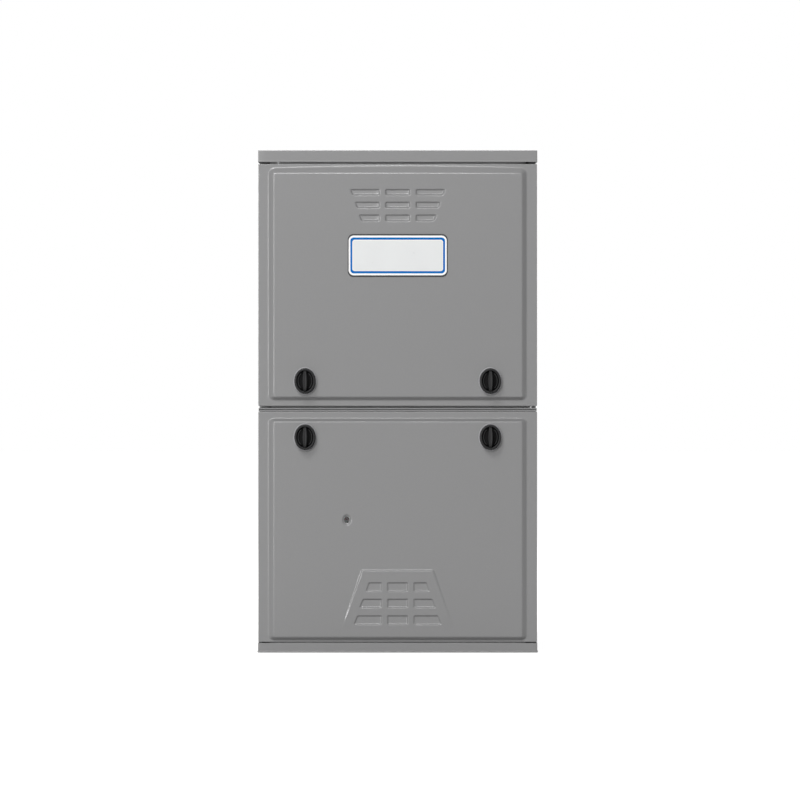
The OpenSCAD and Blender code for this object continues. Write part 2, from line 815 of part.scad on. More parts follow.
// Half ring of tube that joins two passes; side is 1 at the rear and -1 at the front
module tube_bend(y, z, side) {
  translate([0, y, z]) rotate([0, 90, 0]) rotate([0, 0, side > 0 ? 0 : 180])
    rotate_extrude(angle = 180) translate([35, 0]) difference() {
      circle(r = tube_r);
      circle(r = tube_r - tube_wall);
    }
}

module tube_pass(y0, y1, z) {
  difference() {
    rod_y(0, y0, y1, z, tube_r);
    rod_y(0, y0 - 1, y1 + 1, z, tube_r - tube_wall);
  }
}

module primary_tubes() {
  color(steel) for (x = tube_places()) translate([x, 0, 0]) union() {
    tube_pass(y_vest - sheet, bend_rear_y, pass_z(0));
    tube_bend(bend_rear_y, (pass_z(0) + pass_z(1)) / 2, 1);
    tube_pass(bend_front_y, bend_rear_y, pass_z(1));
    tube_bend(bend_front_y, (pass_z(1) + pass_z(2)) / 2, -1);
    tube_pass(bend_front_y, coupling_y, pass_z(2));
  }
}

// Box behind the passes that turns the gases down into the secondary coil
module coupling_box() {
  y1 = y_in_back - 12;
  z1 = pass_z(2) + 32;
  color(steel) difference() {
    block(-coil_half, coil_half, coupling_y, y1, coil_z[0], z1);
    block(-coil_half + 1.5, coil_half - 1.5, coupling_y + 1.5, y1 - 1.5, coil_z[0] + 1.5, z1 - 1.5);
    for (x = tube_places()) rod_y(x, coupling_y - 1, coupling_y + 3, pass_z(2), tube_r - tube_wall);
  }
}

// Two rows of small tubes through a pack of fins
module secondary_coil() {
  coil_y = [y_vest, coupling_y];
  per_row = 7;
  small_r = 7;
  pitch = (2 * coil_half - 40) / (per_row - 1);
  color(foil) union() {
    for (i = [0:fin_n - 1]) {
      y = coil_y[0] + 20 + (coil_y[1] - coil_y[0] - 40) * i / (fin_n - 1);
      block(-coil_half + 1, coil_half - 1, y - 0.5, y + 0.5, coil_z[0] + 1, coil_z[1] - 1);
    }
    for (row = [0, 1]) for (i = [0:per_row - 1])
      rod_y(-coil_half + 20 + pitch * i, coil_y[0] - sheet, coil_y[1], coil_z[0] + 22 + 42 * row, small_r);
  }
}

// Cold end of the coil: gathers the gases for the inducer and the water for the trap
module collector_box() {
  y0 = -186;
  color(moulded_black) difference() {
    union() {
      block(-coil_half, coil_half, y0, y_vest - sheet, coil_z[0] - 8, coil_z[1] + 6);
      for (x = [25 - coil_half:50:coil_half]) block(x - 2, x + 2, y0 - 3, y0, coil_z[0], coil_z[1]);
    }
    block(-coil_half + 3, coil_half - 3, y0 + 3, y_vest, coil_z[0] - 5, coil_z[1] + 3);
    rod_y(inducer_x, y0 - 4, y0 + 4, inducer_z, 24);
  }
}

volute_y = [-236, -189.4];
volute_r = 74;

// Volute of the inducer with its neck going up to the vent
module inducer_housing() {
  wall = 3;
  color(moulded_black) difference() {
    union() {
      rod_y(inducer_x, volute_y[0], volute_y[1], inducer_z, volute_r);
      rod_z(vent_x, vent_y, inducer_z, 600, 23.2);
      rod_z(vent_x, vent_y, 590, 600, pipe_r + 4);
      for (a = [30, 150, 210, 330])
        translate([inducer_x + 80 * cos(a), volute_y[1] - 6, inducer_z + 80 * sin(a)])
          rotate([-90, 0, 0]) cylinder(h = 6, r = 7);
    }
    rod_y(inducer_x, volute_y[0] + wall, volute_y[1] - wall, inducer_z, volute_r - wall);
    rod_y(inducer_x, volute_y[1] - wall - 1, volute_y[1] + 1, inducer_z, 22);
    rod_z(vent_x, vent_y, inducer_z + 20, 601, 20);
    rod_y(inducer_x, volute_y[0] - 1, volute_y[0] + wall + 1, inducer_z, 10);
  }
}

// Open wheel of flat back-swept blades on a disc
module inducer_wheel() {
  blades = 10;
  disc_y = volute_y[0] + 8;
  color(steel) translate([inducer_x, 0, inducer_z]) union() {
    rod_y(0, disc_y, disc_y + 1.5, 0, 58);
    rod_y(0, disc_y - 34, disc_y + 14, 0, 4);
    rod_y(0, disc_y, disc_y + 12, 0, 12);
    for (i = [0:blades - 1]) rotate([0, 360 * i / blades, 0])
      block(20, 56, disc_y + 1, disc_y + 26, 4, 5.5);
  }
}

// Motor in front of the volute, with a cooling wheel cover
module inducer_motor() {
  y1 = volute_y[0] - 6;
  y0 = y1 - 62;
  color(moulded_black) difference() {
    union() {
      rod_y(inducer_x, y0 + 22, y1, inducer_z, 40);
      rod_y(inducer_x, y0, y0 + 24, inducer_z, 34);
      rod_y(inducer_x, y1, volute_y[0], inducer_z, 26);
    }
    rod_y(inducer_x, y1 - 28, volute_y[0] + 1, inducer_z, 4.05);
    rod_y(inducer_x, y1 - 30, y1 - 28, inducer_z, 4.4);
    for (i = [0:7]) translate([inducer_x, y0 - 1, inducer_z]) rotate([0, 45 * i, 0]) translate([22, 0, 0])
      rotate([-90, 0, 0]) cylinder(h = 6, r = 4, $fn = 12);
  }
}

// White pipe from the inducer up through the top plate, ending in a socket
module vent_pipe() {
  socket_z = body_h - 40;
  color(pipe_white) difference() {
    union() {
      rod_z(vent_x, vent_y, 600, body_h - 30, pipe_r);
      rod_z(vent_x, vent_y, socket_z, body_h, coupling_r);
    }
    rod_z(vent_x, vent_y, 599, body_h, pipe_r - 4);
    rod_z(vent_x, vent_y, body_h - 22, body_h + 1, socket_r);
  }
}

module intake_pipe() {
  color(pipe_white) difference() {
    union() {
      rod_z(intake_x, intake_y, box_z[1] - sheet, body_h - 20, pipe_r);
      rod_z(intake_x, intake_y, box_z[1], box_z[1] + 4, pipe_r + 8);
      rod_z(intake_x, intake_y, body_h - 36, body_h, coupling_r);
    }
    rod_z(intake_x, intake_y, box_z[1] - 2, body_h, pipe_r - 4);
    rod_z(intake_x, intake_y, body_h - 22, body_h + 1, socket_r);
  }
}

// Rubber rings that seal the pipes in the top plate, the gas pipe and the drain in the side wall
module pipe_grommets() {
  color(moulded_black) {
    for (p = [[vent_x, vent_y], [intake_x, intake_y]]) difference() {
      union() {
        rod_z(p[0], p[1], body_h - 6, body_h, grommet_r);
        rod_z(p[0], p[1], body_h - 6, body_h - sheet, grommet_r + 4);
      }
      rod_z(p[0], p[1], body_h - 7, body_h + 1, coupling_r);
    }
    difference() {
      union() {
        rod_x(-half_case, -half_in + 3, gas_y, gas_z, gas_r + 6);
        rod_x(-half_in, -half_in + 3, gas_y, gas_z, gas_r + 9);
      }
      rod_x(-half_case - 1, -half_in + 5, gas_y, gas_z, gas_r);
    }
  }
}

pressure_x = -20;
pressure_z = 640;

module pressure_switch() {
  y1 = y_vest - sheet;
  color(moulded_grey) union() {
    rod_y(pressure_x, y1 - 10, y1 - 4, pressure_z, 34);
    rod_y(pressure_x, y1 - 24, y1 - 10, pressure_z, 30);
    rod_y(pressure_x, y1 - 36, y1 - 24, pressure_z, 12);
    block(pressure_x - 42, pressure_x + 42, y1 - 4, y1, pressure_z - 8, pressure_z + 8);
    rod_z(pressure_x, y1 - 17, pressure_z - 44, pressure_z - 29, 3);
  }
}

// Rubber tube from the switch to the collector box
module pressure_tube() {
  y1 = y_vest - sheet - 17;
  foot = [10, -172, coil_z[1] + 6];
  top = [pressure_x, y1, pressure_z - 44];
  down = [0, 0, -1];
  route = concat(
    [top],
    bend(top + 3 * down, top + 22 * down, foot - 25 * down, foot - 3 * down, 12),
    [foot]
  );
  color(moulded_black) swept(route, 3.5);
}

module condensate_trap() {
  y = [-226, -189];
  color(moulded_grey) difference() {
    union() {
      block(-175, -105, y[0], y[1], 442, 500);
      block(-175, -145, y[0], y[1], 500, 545);
      rod_z(-125, drain_y + 8, 500, 520, 8);
      rod_x(-190, -174, drain_y, drain_z, 7.5);
    }
    rod_x(-191, -170, drain_y, drain_z, 5);
    rod_z(-125, drain_y + 8, 490, 521, 5.5);
  }
}

// Drain from the trap out through the side wall
module drain_tube() {
  color(moulded_black) difference() {
    rod_x(-stub_x, -190, drain_y, drain_z, drain_r);
    rod_x(-stub_x - 1, -189, drain_y, drain_z, drain_r - 2.5);
  }
}

// ---------- air side ----------

// Spiral of the blower casing: radius grows evenly from the cut-off round to the front
scroll_y = [blower_y - 195, blower_y + 91];

function scroll(extra, above = 0) = concat(
  [for (i = [0:36])
    let (a = 50 - 230 * i / 36, r = 142 + 53 * i / 36 + extra)
    [blower_y + r * cos(a), blower_z + r * sin(a)]],
  [[scroll_y[0] - extra, deck_z + above], [scroll_y[1] + extra, deck_z + above]]
);

housing_half = 114;

module blower_housing() {
  outer = scroll(0);
  inner = scroll(-sheet, 1);
  inlet_r = 112;
  color(zinc) difference() {
    union() {
      difference() {
        side_slab(outer, -housing_half, housing_half);
        side_slab(inner, -housing_half + sheet, housing_half - sheet);
      }
      // rolled rims of the two inlets
      both_sides() translate([housing_half - sheet, blower_y, blower_z]) rotate([0, 90, 0])
        rotate_extrude() polygon([
          [inlet_r - 1.5, -8], [inlet_r, -8], [inlet_r + 1, -2], [inlet_r + 7, sheet],
          [inlet_r + 7, 2 * sheet], [inlet_r, 2 * sheet], [inlet_r - 1.5, 0]
        ]);
    }
    both_sides() rod_x(housing_half - 2, housing_half + 1, blower_y, blower_z, inlet_r - 1.5);
  }
}

// Forward-curved blades between end rings, on a middle disc with the hub and shaft
module blower_wheel() {
  blade_in = wheel_r - 22;
  blade_t = 1;
  half = wheel_w / 2;
  lean = 26;
  steps = 4;
  function blade_point(i) =
    let (t = i / steps, r = blade_in + (wheel_r - 0.6 - blade_in) * t, a = lean * t * t * 0.45)
    [r * cos(a), r * sin(a)];
  blade = concat(
    [for (i = [0:steps]) blade_point(i)],
    [for (i = [steps:-1:0]) blade_point(i) + [0, blade_t]]
  );
  color(zinc) translate([0, blower_y, blower_z]) rotate([90, 0, 90]) union() {
    translate([0, 0, -half]) linear_extrude(wheel_w) for (b = [0:blade_n - 1]) rotate(360 * b / blade_n)
      polygon(blade);
    for (z = [-half, half - 4]) translate([0, 0, z]) difference() {
      cylinder(h = 4, r = wheel_r);
      translate([0, 0, -1]) cylinder(h = 6, r = wheel_r - 8);
    }
    translate([0, 0, -12]) cylinder(h = 1.6, r = wheel_r);
    translate([0, 0, -34]) cylinder(h = 38, r = 18);
    translate([0, 0, -40]) cylinder(h = 130, r = shaft_r);
  }
}

motor_x = [22, 132];
motor_r = 68;

module blower_motor() {
  color(moulded_black) difference() {
    union() {
      rod_x(motor_x[0] + 8, motor_x[1] - 6, blower_y, blower_z, motor_r);
      rod_x(motor_x[0], motor_x[1], blower_y, blower_z, motor_r - 8);
      rod_x(motor_x[0] - 6, motor_x[0], blower_y, blower_z, 20);
    }
    rod_x(motor_x[0] - 7, 92, blower_y, blower_z, shaft_r + 0.05);
    // cooling slots in the outer end
    for (i = [0:7]) translate([motor_x[1] - 4, blower_y, blower_z]) rotate([45 * i, 0, 0])
      block(0, 6, -4, 4, 26, 46);
  }
}

// Belly band with four arms to the inlet rim
module motor_mount() {
  band_x = [112, 126];
  arm_r = 132;
  color(zinc) union() {
    difference() {
      rod_x(band_x[0], band_x[1], blower_y, blower_z, motor_r + 1.5);
      rod_x(band_x[0] - 1, band_x[1] + 1, blower_y, blower_z, motor_r);
    }
    for (a = [45, 135, 225, 315]) translate([0, blower_y, blower_z]) rotate([a, 0, 0]) union() {
      block(118, 121, -7, 7, motor_r + 1, arm_r);
      block(housing_half, 121, -7, 7, arm_r - 3, arm_r + 6);
    }
  }
}

panel_y = -292;

module control_panel() {
  color(zinc) difference() {
    union() {
      block(-half_in + 0.3, 10, panel_y, panel_y + sheet, 130, 345);
      block(-half_in + 0.3, -half_in + 0.3 + sheet, panel_y, panel_y + 40, 130, 345);
      block(-half_in + 0.3, 10, panel_y, panel_y + 14, 345 - sheet, 345);
    }
    for (z = [150, 325]) rod_y(-8, panel_y - 1, panel_y + 3, z, 6);
  }
}

board_y = panel_y - 10;

// Circuit board on stand-offs, with relays, terminals and the lamp behind the sight hole
module control_board() {
  relays = [[-190, 300], [-160, 300], [-130, 300], [-190, 262]];
  color(board_green) union() {
    block(-225, -70, board_y, board_y + 1.6, 165, 325);
    for (x = [-218, -77]) for (z = [172, 318]) rod_y(x, board_y + 1.6, panel_y, z, 3);
  }
  color(moulded_black) for (p = relays)
    block(p[0] - 9, p[0] + 9, board_y - 16, board_y, p[1] - 11, p[1] + 11);
  color(pipe_white) {
    block(-215, -130, board_y - 12, board_y, 172, 184);
    block(-222, -212, board_y - 10, board_y, 200, 250);
  }
  color(moulded_grey) for (x = [-180, -160]) rod_y(x, board_y - 22, board_y, 222, 8);
  color(signal_red) rod_y(sight_x, board_y - 9, board_y, sight_z, 4);
}

module transformer() {
  color(moulded_grey) union() {
    block(-62, -2, panel_y - 34, panel_y - 6, 200, 262);
    block(-58, -6, panel_y - 40, panel_y, 212, 250);
    block(-62, -2, panel_y - 3, panel_y, 190, 272);
    block(-62, -60, panel_y - 34, panel_y, 195, 267);
    block(-4, -2, panel_y - 34, panel_y, 195, 267);
  }
}

striker_x = 60;
striker_z = 392;
striker_y = y_margin + 9;
plunger_tip = striker_y + 0.3;
switch_y = [-326, -298];

// Interlock switch hanging from the deck on a bracket
module door_switch() {
  color(moulded_grey) difference() {
    union() {
      block(striker_x - 14, striker_x + 14, switch_y[0], switch_y[1], striker_z - 12, striker_z + 16);
      block(striker_x - 20, striker_x + 20, switch_y[1] - 2, switch_y[1], striker_z - 12, deck_z);
    }
    rod_y(striker_x, switch_y[0] - 1, switch_y[0] + 12, striker_z, 4.05);
  }
}

// Plunger, held in by the closed door
module door_switch_plunger() {
  color(signal_red) union() {
    rod_y(striker_x, plunger_tip + 1, switch_y[0] + 8, striker_z, 4);
    rod_y(striker_x, plunger_tip, plunger_tip + 1.2, striker_z, 3);
  }
}

// Box against the side wall, with a collar through the wall for each conduit
module junction_box() {
  x0 = -half_in;
  x1 = x0 + 58;
  y = [-322, -262];
  z = [530, 625];
  entries = [entry_z, entry_z - entry_step];
  color(zinc) difference() {
    union() {
      block(x0, x1, y[0], y[1], z[0], z[1]);
      for (at = entries) rod_x(-stub_x, x0 + sheet, entry_y, at, collar_r);
    }
    block(x0 + sheet, x1 - sheet, y[0] + sheet, y[1] - sheet, z[0] + sheet, z[1] - sheet);
    for (at = entries) rod_x(-stub_x - 1, x0 + 2, entry_y, at, knockout_r);
    rod_x(x1 - 2, x1 + 1, entry_y, entry_z - entry_step / 2, 7);
  }
}

// Card frame with pleated media between mesh faces
module air_filter() {
  half = 225;
  y = [-105, 350];
  z = [22, 46];
  frame_w = 14;
  pleats = 26;
  step = (y[1] - y[0] - 2 * frame_w) / pleats;
  crest = [for (i = [0:2 * pleats]) [y[0] + frame_w + step * i / 2, i % 2 == 0 ? z[0] + 3 : z[1] - 4]];
  color(pipe_white) union() {
    difference() {
      block(-half, half, y[0], y[1], z[0], z[1]);
      block(-half + frame_w, half - frame_w, y[0] + frame_w, y[1] - frame_w, z[0] - 1, z[1] + 1);
    }
    side_slab(
      concat(crest, [for (i = [2 * pleats:-1:0]) crest[i] + [0, 1.5]]),
      -half + frame_w - 1, half - frame_w + 1
    );
    for (x = [-140, 0, 140]) block(x - 2, x + 2, y[0] + frame_w - 1, y[1] - frame_w + 1, z[0], z[0] + 3.2);
  }
}

// Hexagon washer-head screws on the front flanges, the vestibule panel and the control panel
module screw(x, y, z) {
  translate([x, y, z]) rotate([90, 0, 0]) union() {
    cylinder(h = 1, r = 5);
    translate([0, 0, 1]) cylinder(h = 3.5, r = 4, $fn = 6);
  }
}

module case_screws() {
  color(zinc) {
    for (x = [-half_in + 10, half_in - 10]) for (z = [60, 215, 370, 500, 680, 850]) screw(x, y_case, z);
    for (x = [-half_in + 14, half_in - 14]) for (z = [620, 720, 850]) screw(x, y_vest - sheet, z);
  }
}

casing_wrapper();
top_cap();
base_pan();
blower_deck();
vestibule_panel();
casing_liner();
upper_door();
upper_door_liner();
name_plate();
upper_bezels();
lower_door();
lower_door_liner();
sight_glass();
lower_bezels();
knob_upper_left();
knob_upper_right();
knob_lower_left();
knob_lower_right();
latch_upper_left();
latch_upper_right();
latch_lower_left();
latch_lower_right();
burner_box();
burners();
gas_manifold();
orifice_spuds();
gas_valve();
gas_valve_switch();
gas_pipe();
igniter();
flame_sensor();
rollout_switches();
rollout_reset_left();
rollout_reset_right();
primary_tubes();
coupling_box();
secondary_coil();
collector_box();
inducer_housing();
inducer_wheel();
inducer_motor();
vent_pipe();
intake_pipe();
pipe_grommets();
pressure_switch();
pressure_tube();
condensate_trap();
drain_tube();
blower_housing();
blower_wheel();
blower_motor();
motor_mount();
control_panel();
control_board();
transformer();
door_switch();
door_switch_plunger();
junction_box();
air_filter();
case_screws();
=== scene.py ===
import json
import math
from functools import partial

import bmesh
import bpy
import numpy as np
from bpy.props import FloatProperty, FloatVectorProperty, PointerProperty
from bpy.types import Operator, Panel, PropertyGroup
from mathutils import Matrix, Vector


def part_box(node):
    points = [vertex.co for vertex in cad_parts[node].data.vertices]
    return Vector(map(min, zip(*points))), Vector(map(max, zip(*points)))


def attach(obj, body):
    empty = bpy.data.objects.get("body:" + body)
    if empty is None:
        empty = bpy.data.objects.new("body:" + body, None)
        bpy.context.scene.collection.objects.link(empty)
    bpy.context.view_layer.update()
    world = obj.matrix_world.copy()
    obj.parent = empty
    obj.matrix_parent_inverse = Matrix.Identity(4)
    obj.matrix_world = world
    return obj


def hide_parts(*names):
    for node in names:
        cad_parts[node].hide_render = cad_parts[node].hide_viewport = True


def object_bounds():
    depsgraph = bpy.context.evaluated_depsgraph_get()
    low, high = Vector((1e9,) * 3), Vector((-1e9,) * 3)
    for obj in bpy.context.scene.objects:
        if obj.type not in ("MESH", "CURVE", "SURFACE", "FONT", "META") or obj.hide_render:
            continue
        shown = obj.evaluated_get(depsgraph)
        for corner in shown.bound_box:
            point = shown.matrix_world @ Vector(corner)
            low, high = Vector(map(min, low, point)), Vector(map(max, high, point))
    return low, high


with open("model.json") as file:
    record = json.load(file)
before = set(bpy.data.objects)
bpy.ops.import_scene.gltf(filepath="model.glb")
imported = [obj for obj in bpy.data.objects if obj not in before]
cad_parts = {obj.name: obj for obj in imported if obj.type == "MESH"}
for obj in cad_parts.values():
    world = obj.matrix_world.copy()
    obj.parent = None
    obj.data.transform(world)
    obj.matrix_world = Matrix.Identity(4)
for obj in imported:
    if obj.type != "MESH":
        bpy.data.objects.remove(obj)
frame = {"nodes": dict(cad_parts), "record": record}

bl_info = {
    "name": "Forced air furnace",
    "version": (1, 0, 0),
    "blender": (4, 5, 0),
    "location": "3D View > Sidebar > Furnace",
    "description": "Dresses a grey upflow furnace: pressed doors, controls, liners and studio",
    "category": "Object",
}

CAD_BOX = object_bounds()
RECORD = frame["record"]
BODY_OF = {n: body for body, members in RECORD["behaviour"]["bodies"].items() for n in members}
SLOT_OF = {part["node"]: part["material_slot"] for part in RECORD["subparts"]}

# ---------- places taken from the frame ----------

CAP_LOW, CAP_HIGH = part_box("top_cap")
BASE_LOW, BASE_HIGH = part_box("base_pan")
CASE_LOW, CASE_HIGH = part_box("casing_wrapper")
PLATE_LOW, PLATE_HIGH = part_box("name_plate")
DOOR_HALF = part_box("upper_door")[1].x
DOOR_DEPTH = 0.021
FACE_Y = PLATE_HIGH.y
MARGIN_Y = CASE_LOW.y - DOOR_DEPTH
# Thickness of the sheet metal, and of each printed layer on the plate
SHEET = 0.0012
PRINT = 0.00006
# Distance from a bend to the row of points that keeps the flat face beside it flat
SUPPORT = 0.0003
KNOBS = ("knob_upper_left", "knob_upper_right", "knob_lower_left", "knob_lower_right")
# Height of the knobs' dish over the door's panel
KNOB_FLOOR = 0.0078


def knob_centre(node):
    """Middle of a knob's oval, as (x, z)."""
    low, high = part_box(node)
    return (low.x + high.x) / 2, (low.z + high.z) / 2


# The two doors. Heights are z. Louvre rows are top, bottom, middle half width, start of the side slots, and
# their outer ends at the top and at the bottom. Louvre walls are the widths of the top, bottom and side
# walls, and depths those of the floor at its top and foot. A tongue is its foot, head and depth.
DOORS = {
    "upper_door": {
        "edge": (0.4364, 0.8647),
        "outer": (0.4452, 0.8585),
        "inner": (0.4541, 0.8470),
        "arch": 0.0040,
        "louvres": (
            (0.8209, 0.8079, 0.0230, 0.0309, 0.0862, 0.0810),
            (0.7985, 0.7854, 0.0230, 0.0309, 0.0775, 0.0730),
            (0.7759, 0.7620, 0.0230, 0.0309, 0.0707, 0.0648),
        ),
        "louvre_walls": (0.0036, 0.0038, 0.0038),
        "louvre_depths": (0.0032, 0.0028),
        "tongue": (0.8637, 0.8737, 0.0090),
    },
    "lower_door": {
        "edge": (0.0186, 0.4266),
        "outer": (0.0204, 0.4151),
        "inner": (0.0292, 0.4080),
        "arch": 0.0,
        "louvres": (
            (0.1252, 0.1075, 0.0194, 0.0271, 0.0520, 0.0580),
            (0.0961, 0.0786, 0.0194, 0.0271, 0.0624, 0.0694),
            (0.0667, 0.0489, 0.0194, 0.0271, 0.0723, 0.0792),
        ),
        "louvre_walls": (0.0030, 0.0034, 0.0036),
        "louvre_depths": (0.0027, 0.0023),
        "tongue": (0.0096, 0.0196, 0.0040),
    },
}
PANEL_HALF = 0.2298
INNER_HALF = 0.2184
FLANGE_DEPTH = 0.0204
FIELD = {"top": 0.1480, "foot": 0.0440, "top_half": 0.0642, "foot_half": 0.0986, "rise": 0.0022}
SIGHT = {"x": -0.0901, "z": 0.2351, "hole": (0.00445, 0.00585), "dimple": (0.0090, 0.0110), "drop": 0.0030}
# Spacing of the doors' grid: across and up the plain sheet, and where something is pressed into it
GRID = {"across": 0.0100, "up": 0.0080, "bevel": 0.0008, "slot_start": 0.0009, "slot_end": 0.0011,
        "row": 0.0007, "sight": 0.0018, "field_side": 0.0010, "field": 0.0022, "field_top": 0.0006,
        "edge": 0.0002}
# Duct openings as x0, x1, y0, y1
SUPPLY = (-0.210, 0.210, -0.118, 0.352)
RETURN = (-0.185, 0.185, -0.090, 0.330)
# Ports of the left wall: y, z, radius and the reach of their rings
PORTS = ((-0.282, 0.655, 0.01665, 0.022), (-0.290, 0.600, 0.0129, 0.018), (-0.290, 0.550, 0.0129, 0.018),
         (-0.215, 0.456, 0.0090, 0.013))
# Unused knock-outs of both walls as y, z, and the radii of their two pressed rings
KNOCKOUTS = ((-0.215, 0.720), (-0.170, 0.495))
KNOCKOUT_RINGS = (0.0111, 0.0143)
# Outline where a side return may be cut: y0, y1, z0, z1
SIDE_RETURN = (-0.060, 0.300, 0.045, 0.385)
# Top of the lower casing mat and foot of the upper one
LINER_JOINT = (0.4298, 0.4316)
MAT_THICK = 0.010
MAT_EDGE = 0.016
# Holes of the levelling legs in the base, as x and y
LEGS = [(x, y) for x in (-0.230, 0.230) for y in (-0.320, 0.350)]


# ---------- settings ----------

class FurnaceSizes(PropertyGroup):
    """Sizes of the pressed sheet metal."""
    roll: FloatProperty(name="Edge roll", description="Radius of the doors' rolled edges",
                        default=0.0010, min=0.0005, max=0.003, unit="LENGTH", precision=4)
    fillet: FloatProperty(name="Bevel fillet", description="Share of a bevel that each fillet takes",
                          default=0.28, min=0.1, max=0.5)
    bevel_corner: FloatProperty(name="Bevel corner", default=1.1, min=0.1, max=1.5,
                                description="Rounding of a bevel's outer corner, in bevel widths")
    louvre_corner: FloatProperty(name="Louvre corner", default=1.0, min=0.5, max=2.5,
                                 description="Rounding of a louvre's corner, in wall widths")
    hem: FloatProperty(name="Hem height", description="Height of the bead on the cap's and base's edge",
                       default=0.0036, min=0.002, max=0.006, unit="LENGTH", precision=4)
    hem_proud: FloatProperty(name="Hem depth", description="How far the base's bead stands out",
                             default=0.0012, min=0.0001, max=0.002, unit="LENGTH", precision=4)
    flare: FloatProperty(name="Cap flare", description="How far the cap's lower edge flares out",
                         default=0.00012, min=0.0, max=0.001, unit="LENGTH", precision=5)


class FurnaceColours(PropertyGroup):
    """Colours of the finishes, as linear values."""
    paint: FloatVectorProperty(name="Paint", description="Grey paint of the cabinet", subtype="COLOR",
                               size=3, default=(0.210, 0.210, 0.211), min=0, max=1)
    knob: FloatVectorProperty(name="Knob", description="Moulded plastic of the knobs", subtype="COLOR",
                              size=3, default=(0.010, 0.010, 0.0105), min=0, max=1)
    ring: FloatVectorProperty(name="Plate ring", description="Blue ring around the plate", subtype="COLOR",
                              size=3, default=(0.0, 0.128, 0.45), min=0, max=1)
    field: FloatVectorProperty(name="Plate field", description="Bare field of the plate", subtype="COLOR",
                               size=3, default=(0.69, 0.70, 0.70), min=0, max=1)


class StudioSizes(PropertyGroup):
    """Camera and lamps."""
    lens: FloatProperty(name="Lens", description="Focal length in millimetres", default=200, min=50, max=400)
    distance: FloatProperty(name="Distance", description="Camera to the doors' front plane",
                            default=7.867, min=2, max=20, unit="LENGTH")
    camera_x: FloatProperty(name="Camera x", description="Sideways place of the camera",
                            default=0.00407, min=-1, max=1, unit="LENGTH", precision=4)
    camera_z: FloatProperty(name="Camera height", description="Height of the camera over the floor",
                            default=0.447, min=0, max=2, unit="LENGTH")
    key: FloatProperty(name="Key", description="Light that the key lamp throws on the doors", default=0.48,
                       min=0, max=3)
    side: FloatProperty(name="Side strip", description="Light that the lamp on the left throws on the doors",
                        default=0.28, min=0, max=1)
    top: FloatProperty(name="Top strip", default=0.27, min=0, max=1,
                       description="Light that the lamp over the camera throws on the doors")
    corner: FloatProperty(name="Corner lamp", description="Light that the lamp between the two strips throws",
                          default=0.09, min=0, max=1)
    fill: FloatProperty(name="Fill", description="Strength of the light from all around", default=0.03,
                        min=0, max=2)


# ---------- meshes ----------

def steps(low, high, coarse, bands=()):
    """Places from low to high, coarse apart, and closer inside each (start, end, step) band."""
    marks = sorted({low, high, *(min(max(m, low), high) for band in bands for m in band[:2])})
    places = [np.array([low])]
    for a, b in zip(marks, marks[1:]):
        step = min([coarse] + [s for start, end, s in bands if start <= (a + b) / 2 <= end])
        places.append(np.linspace(a, b, max(1, math.ceil((b - a) / step - 1e-6)) + 1)[1:])
    return np.concatenate(places)


def hole_bands(holes, axis, step, reach=None):
    """Bands around holes, across (axis 0) or up (axis 1), out to reach or to each hole's own."""
    return [(h[axis] - (reach or h[4]), h[axis] + (reach or h[4]), step) for h in holes]


def edge_bands(low, high, width, step):
    """Bands along both edges of a sheet."""
    return [(low, low + width, step), (high - width, high, step)]


def quads(number, closed=False):
    """Faces between neighbouring rows of a grid of vertex numbers.

    closed joins its last column to its first."""
    if closed:
        number = np.concatenate([number, number[:, :1]], axis=1)
    a, b = number[:, :-1], number[:, 1:]
    return np.stack([a[:-1], b[:-1], b[1:], a[1:]], axis=-1).reshape(-1, 4)


def perforated(us, vs, holes=(), openings=()):
    """Grid over us and vs, as (points, faces, vertex numbers), where a point is (u, v, drop).

    An opening (u0, u1, v0, v1) is left out. A round hole (u, v, ru, rv, reach, rings, lip) takes the
    window within reach of its centre, and rings fill it: point = (1 - t) * window + t * edge, with t
    from 0 to 1. The hole's edge then drops by lip."""
    number = np.arange(len(us) * len(vs)).reshape(len(vs), len(us))
    points = np.zeros((number.size, 3))
    points[:, :2] = np.stack(np.meshgrid(us, vs), axis=-1).reshape(-1, 2)
    kept = np.ones((len(vs) - 1, len(us) - 1), bool)
    mid_u, mid_v = (us[1:] + us[:-1]) / 2, (vs[1:] + vs[:-1]) / 2
    for u0, u1, v0, v1 in openings:
        kept[np.ix_((mid_v > v0) & (mid_v < v1), (mid_u > u0) & (mid_u < u1))] = False
    sheets, faces = [points], []
    count = len(points)
    for u, v, ru, rv, reach, rings, lip in holes:
        i0, i1 = np.searchsorted(us, [u - reach - 1e-7, u + reach - 1e-7])
        j0, j1 = np.searchsorted(vs, [v - reach - 1e-7, v + reach - 1e-7])
        kept[j0:j1, i0:i1] = False
        loop = np.concatenate([number[j0, i0:i1], number[j0:j1, i1],
                               number[j1, i1:i0:-1], number[j1:j0:-1, i0]])
        window = points[loop, :2] - (u, v)
        angle = np.arctan2(window[:, 1] / rv, window[:, 0] / ru)
        edge = np.stack([ru * np.cos(angle), rv * np.sin(angle)], axis=-1)
        t = np.linspace(0, 1, rings + 1)[1:, None, None]
        ring = np.zeros((rings + 1, len(loop), 3))
        ring[:-1, :, :2] = (1 - t) * window + t * edge + (u, v)
        ring[-1, :, :2] = edge + (u, v)
        ring[-1, :, 2] = lip
        sheets.append(ring.reshape(-1, 3))
        ring_number = count + np.arange(ring.size // 3).reshape(rings + 1, -1)
        faces.append(quads(np.vstack([loop, ring_number]), True))
        count += ring.size // 3
    grid = quads(number)[kept.ravel()]
    return np.concatenate(sheets), [grid, *faces], number


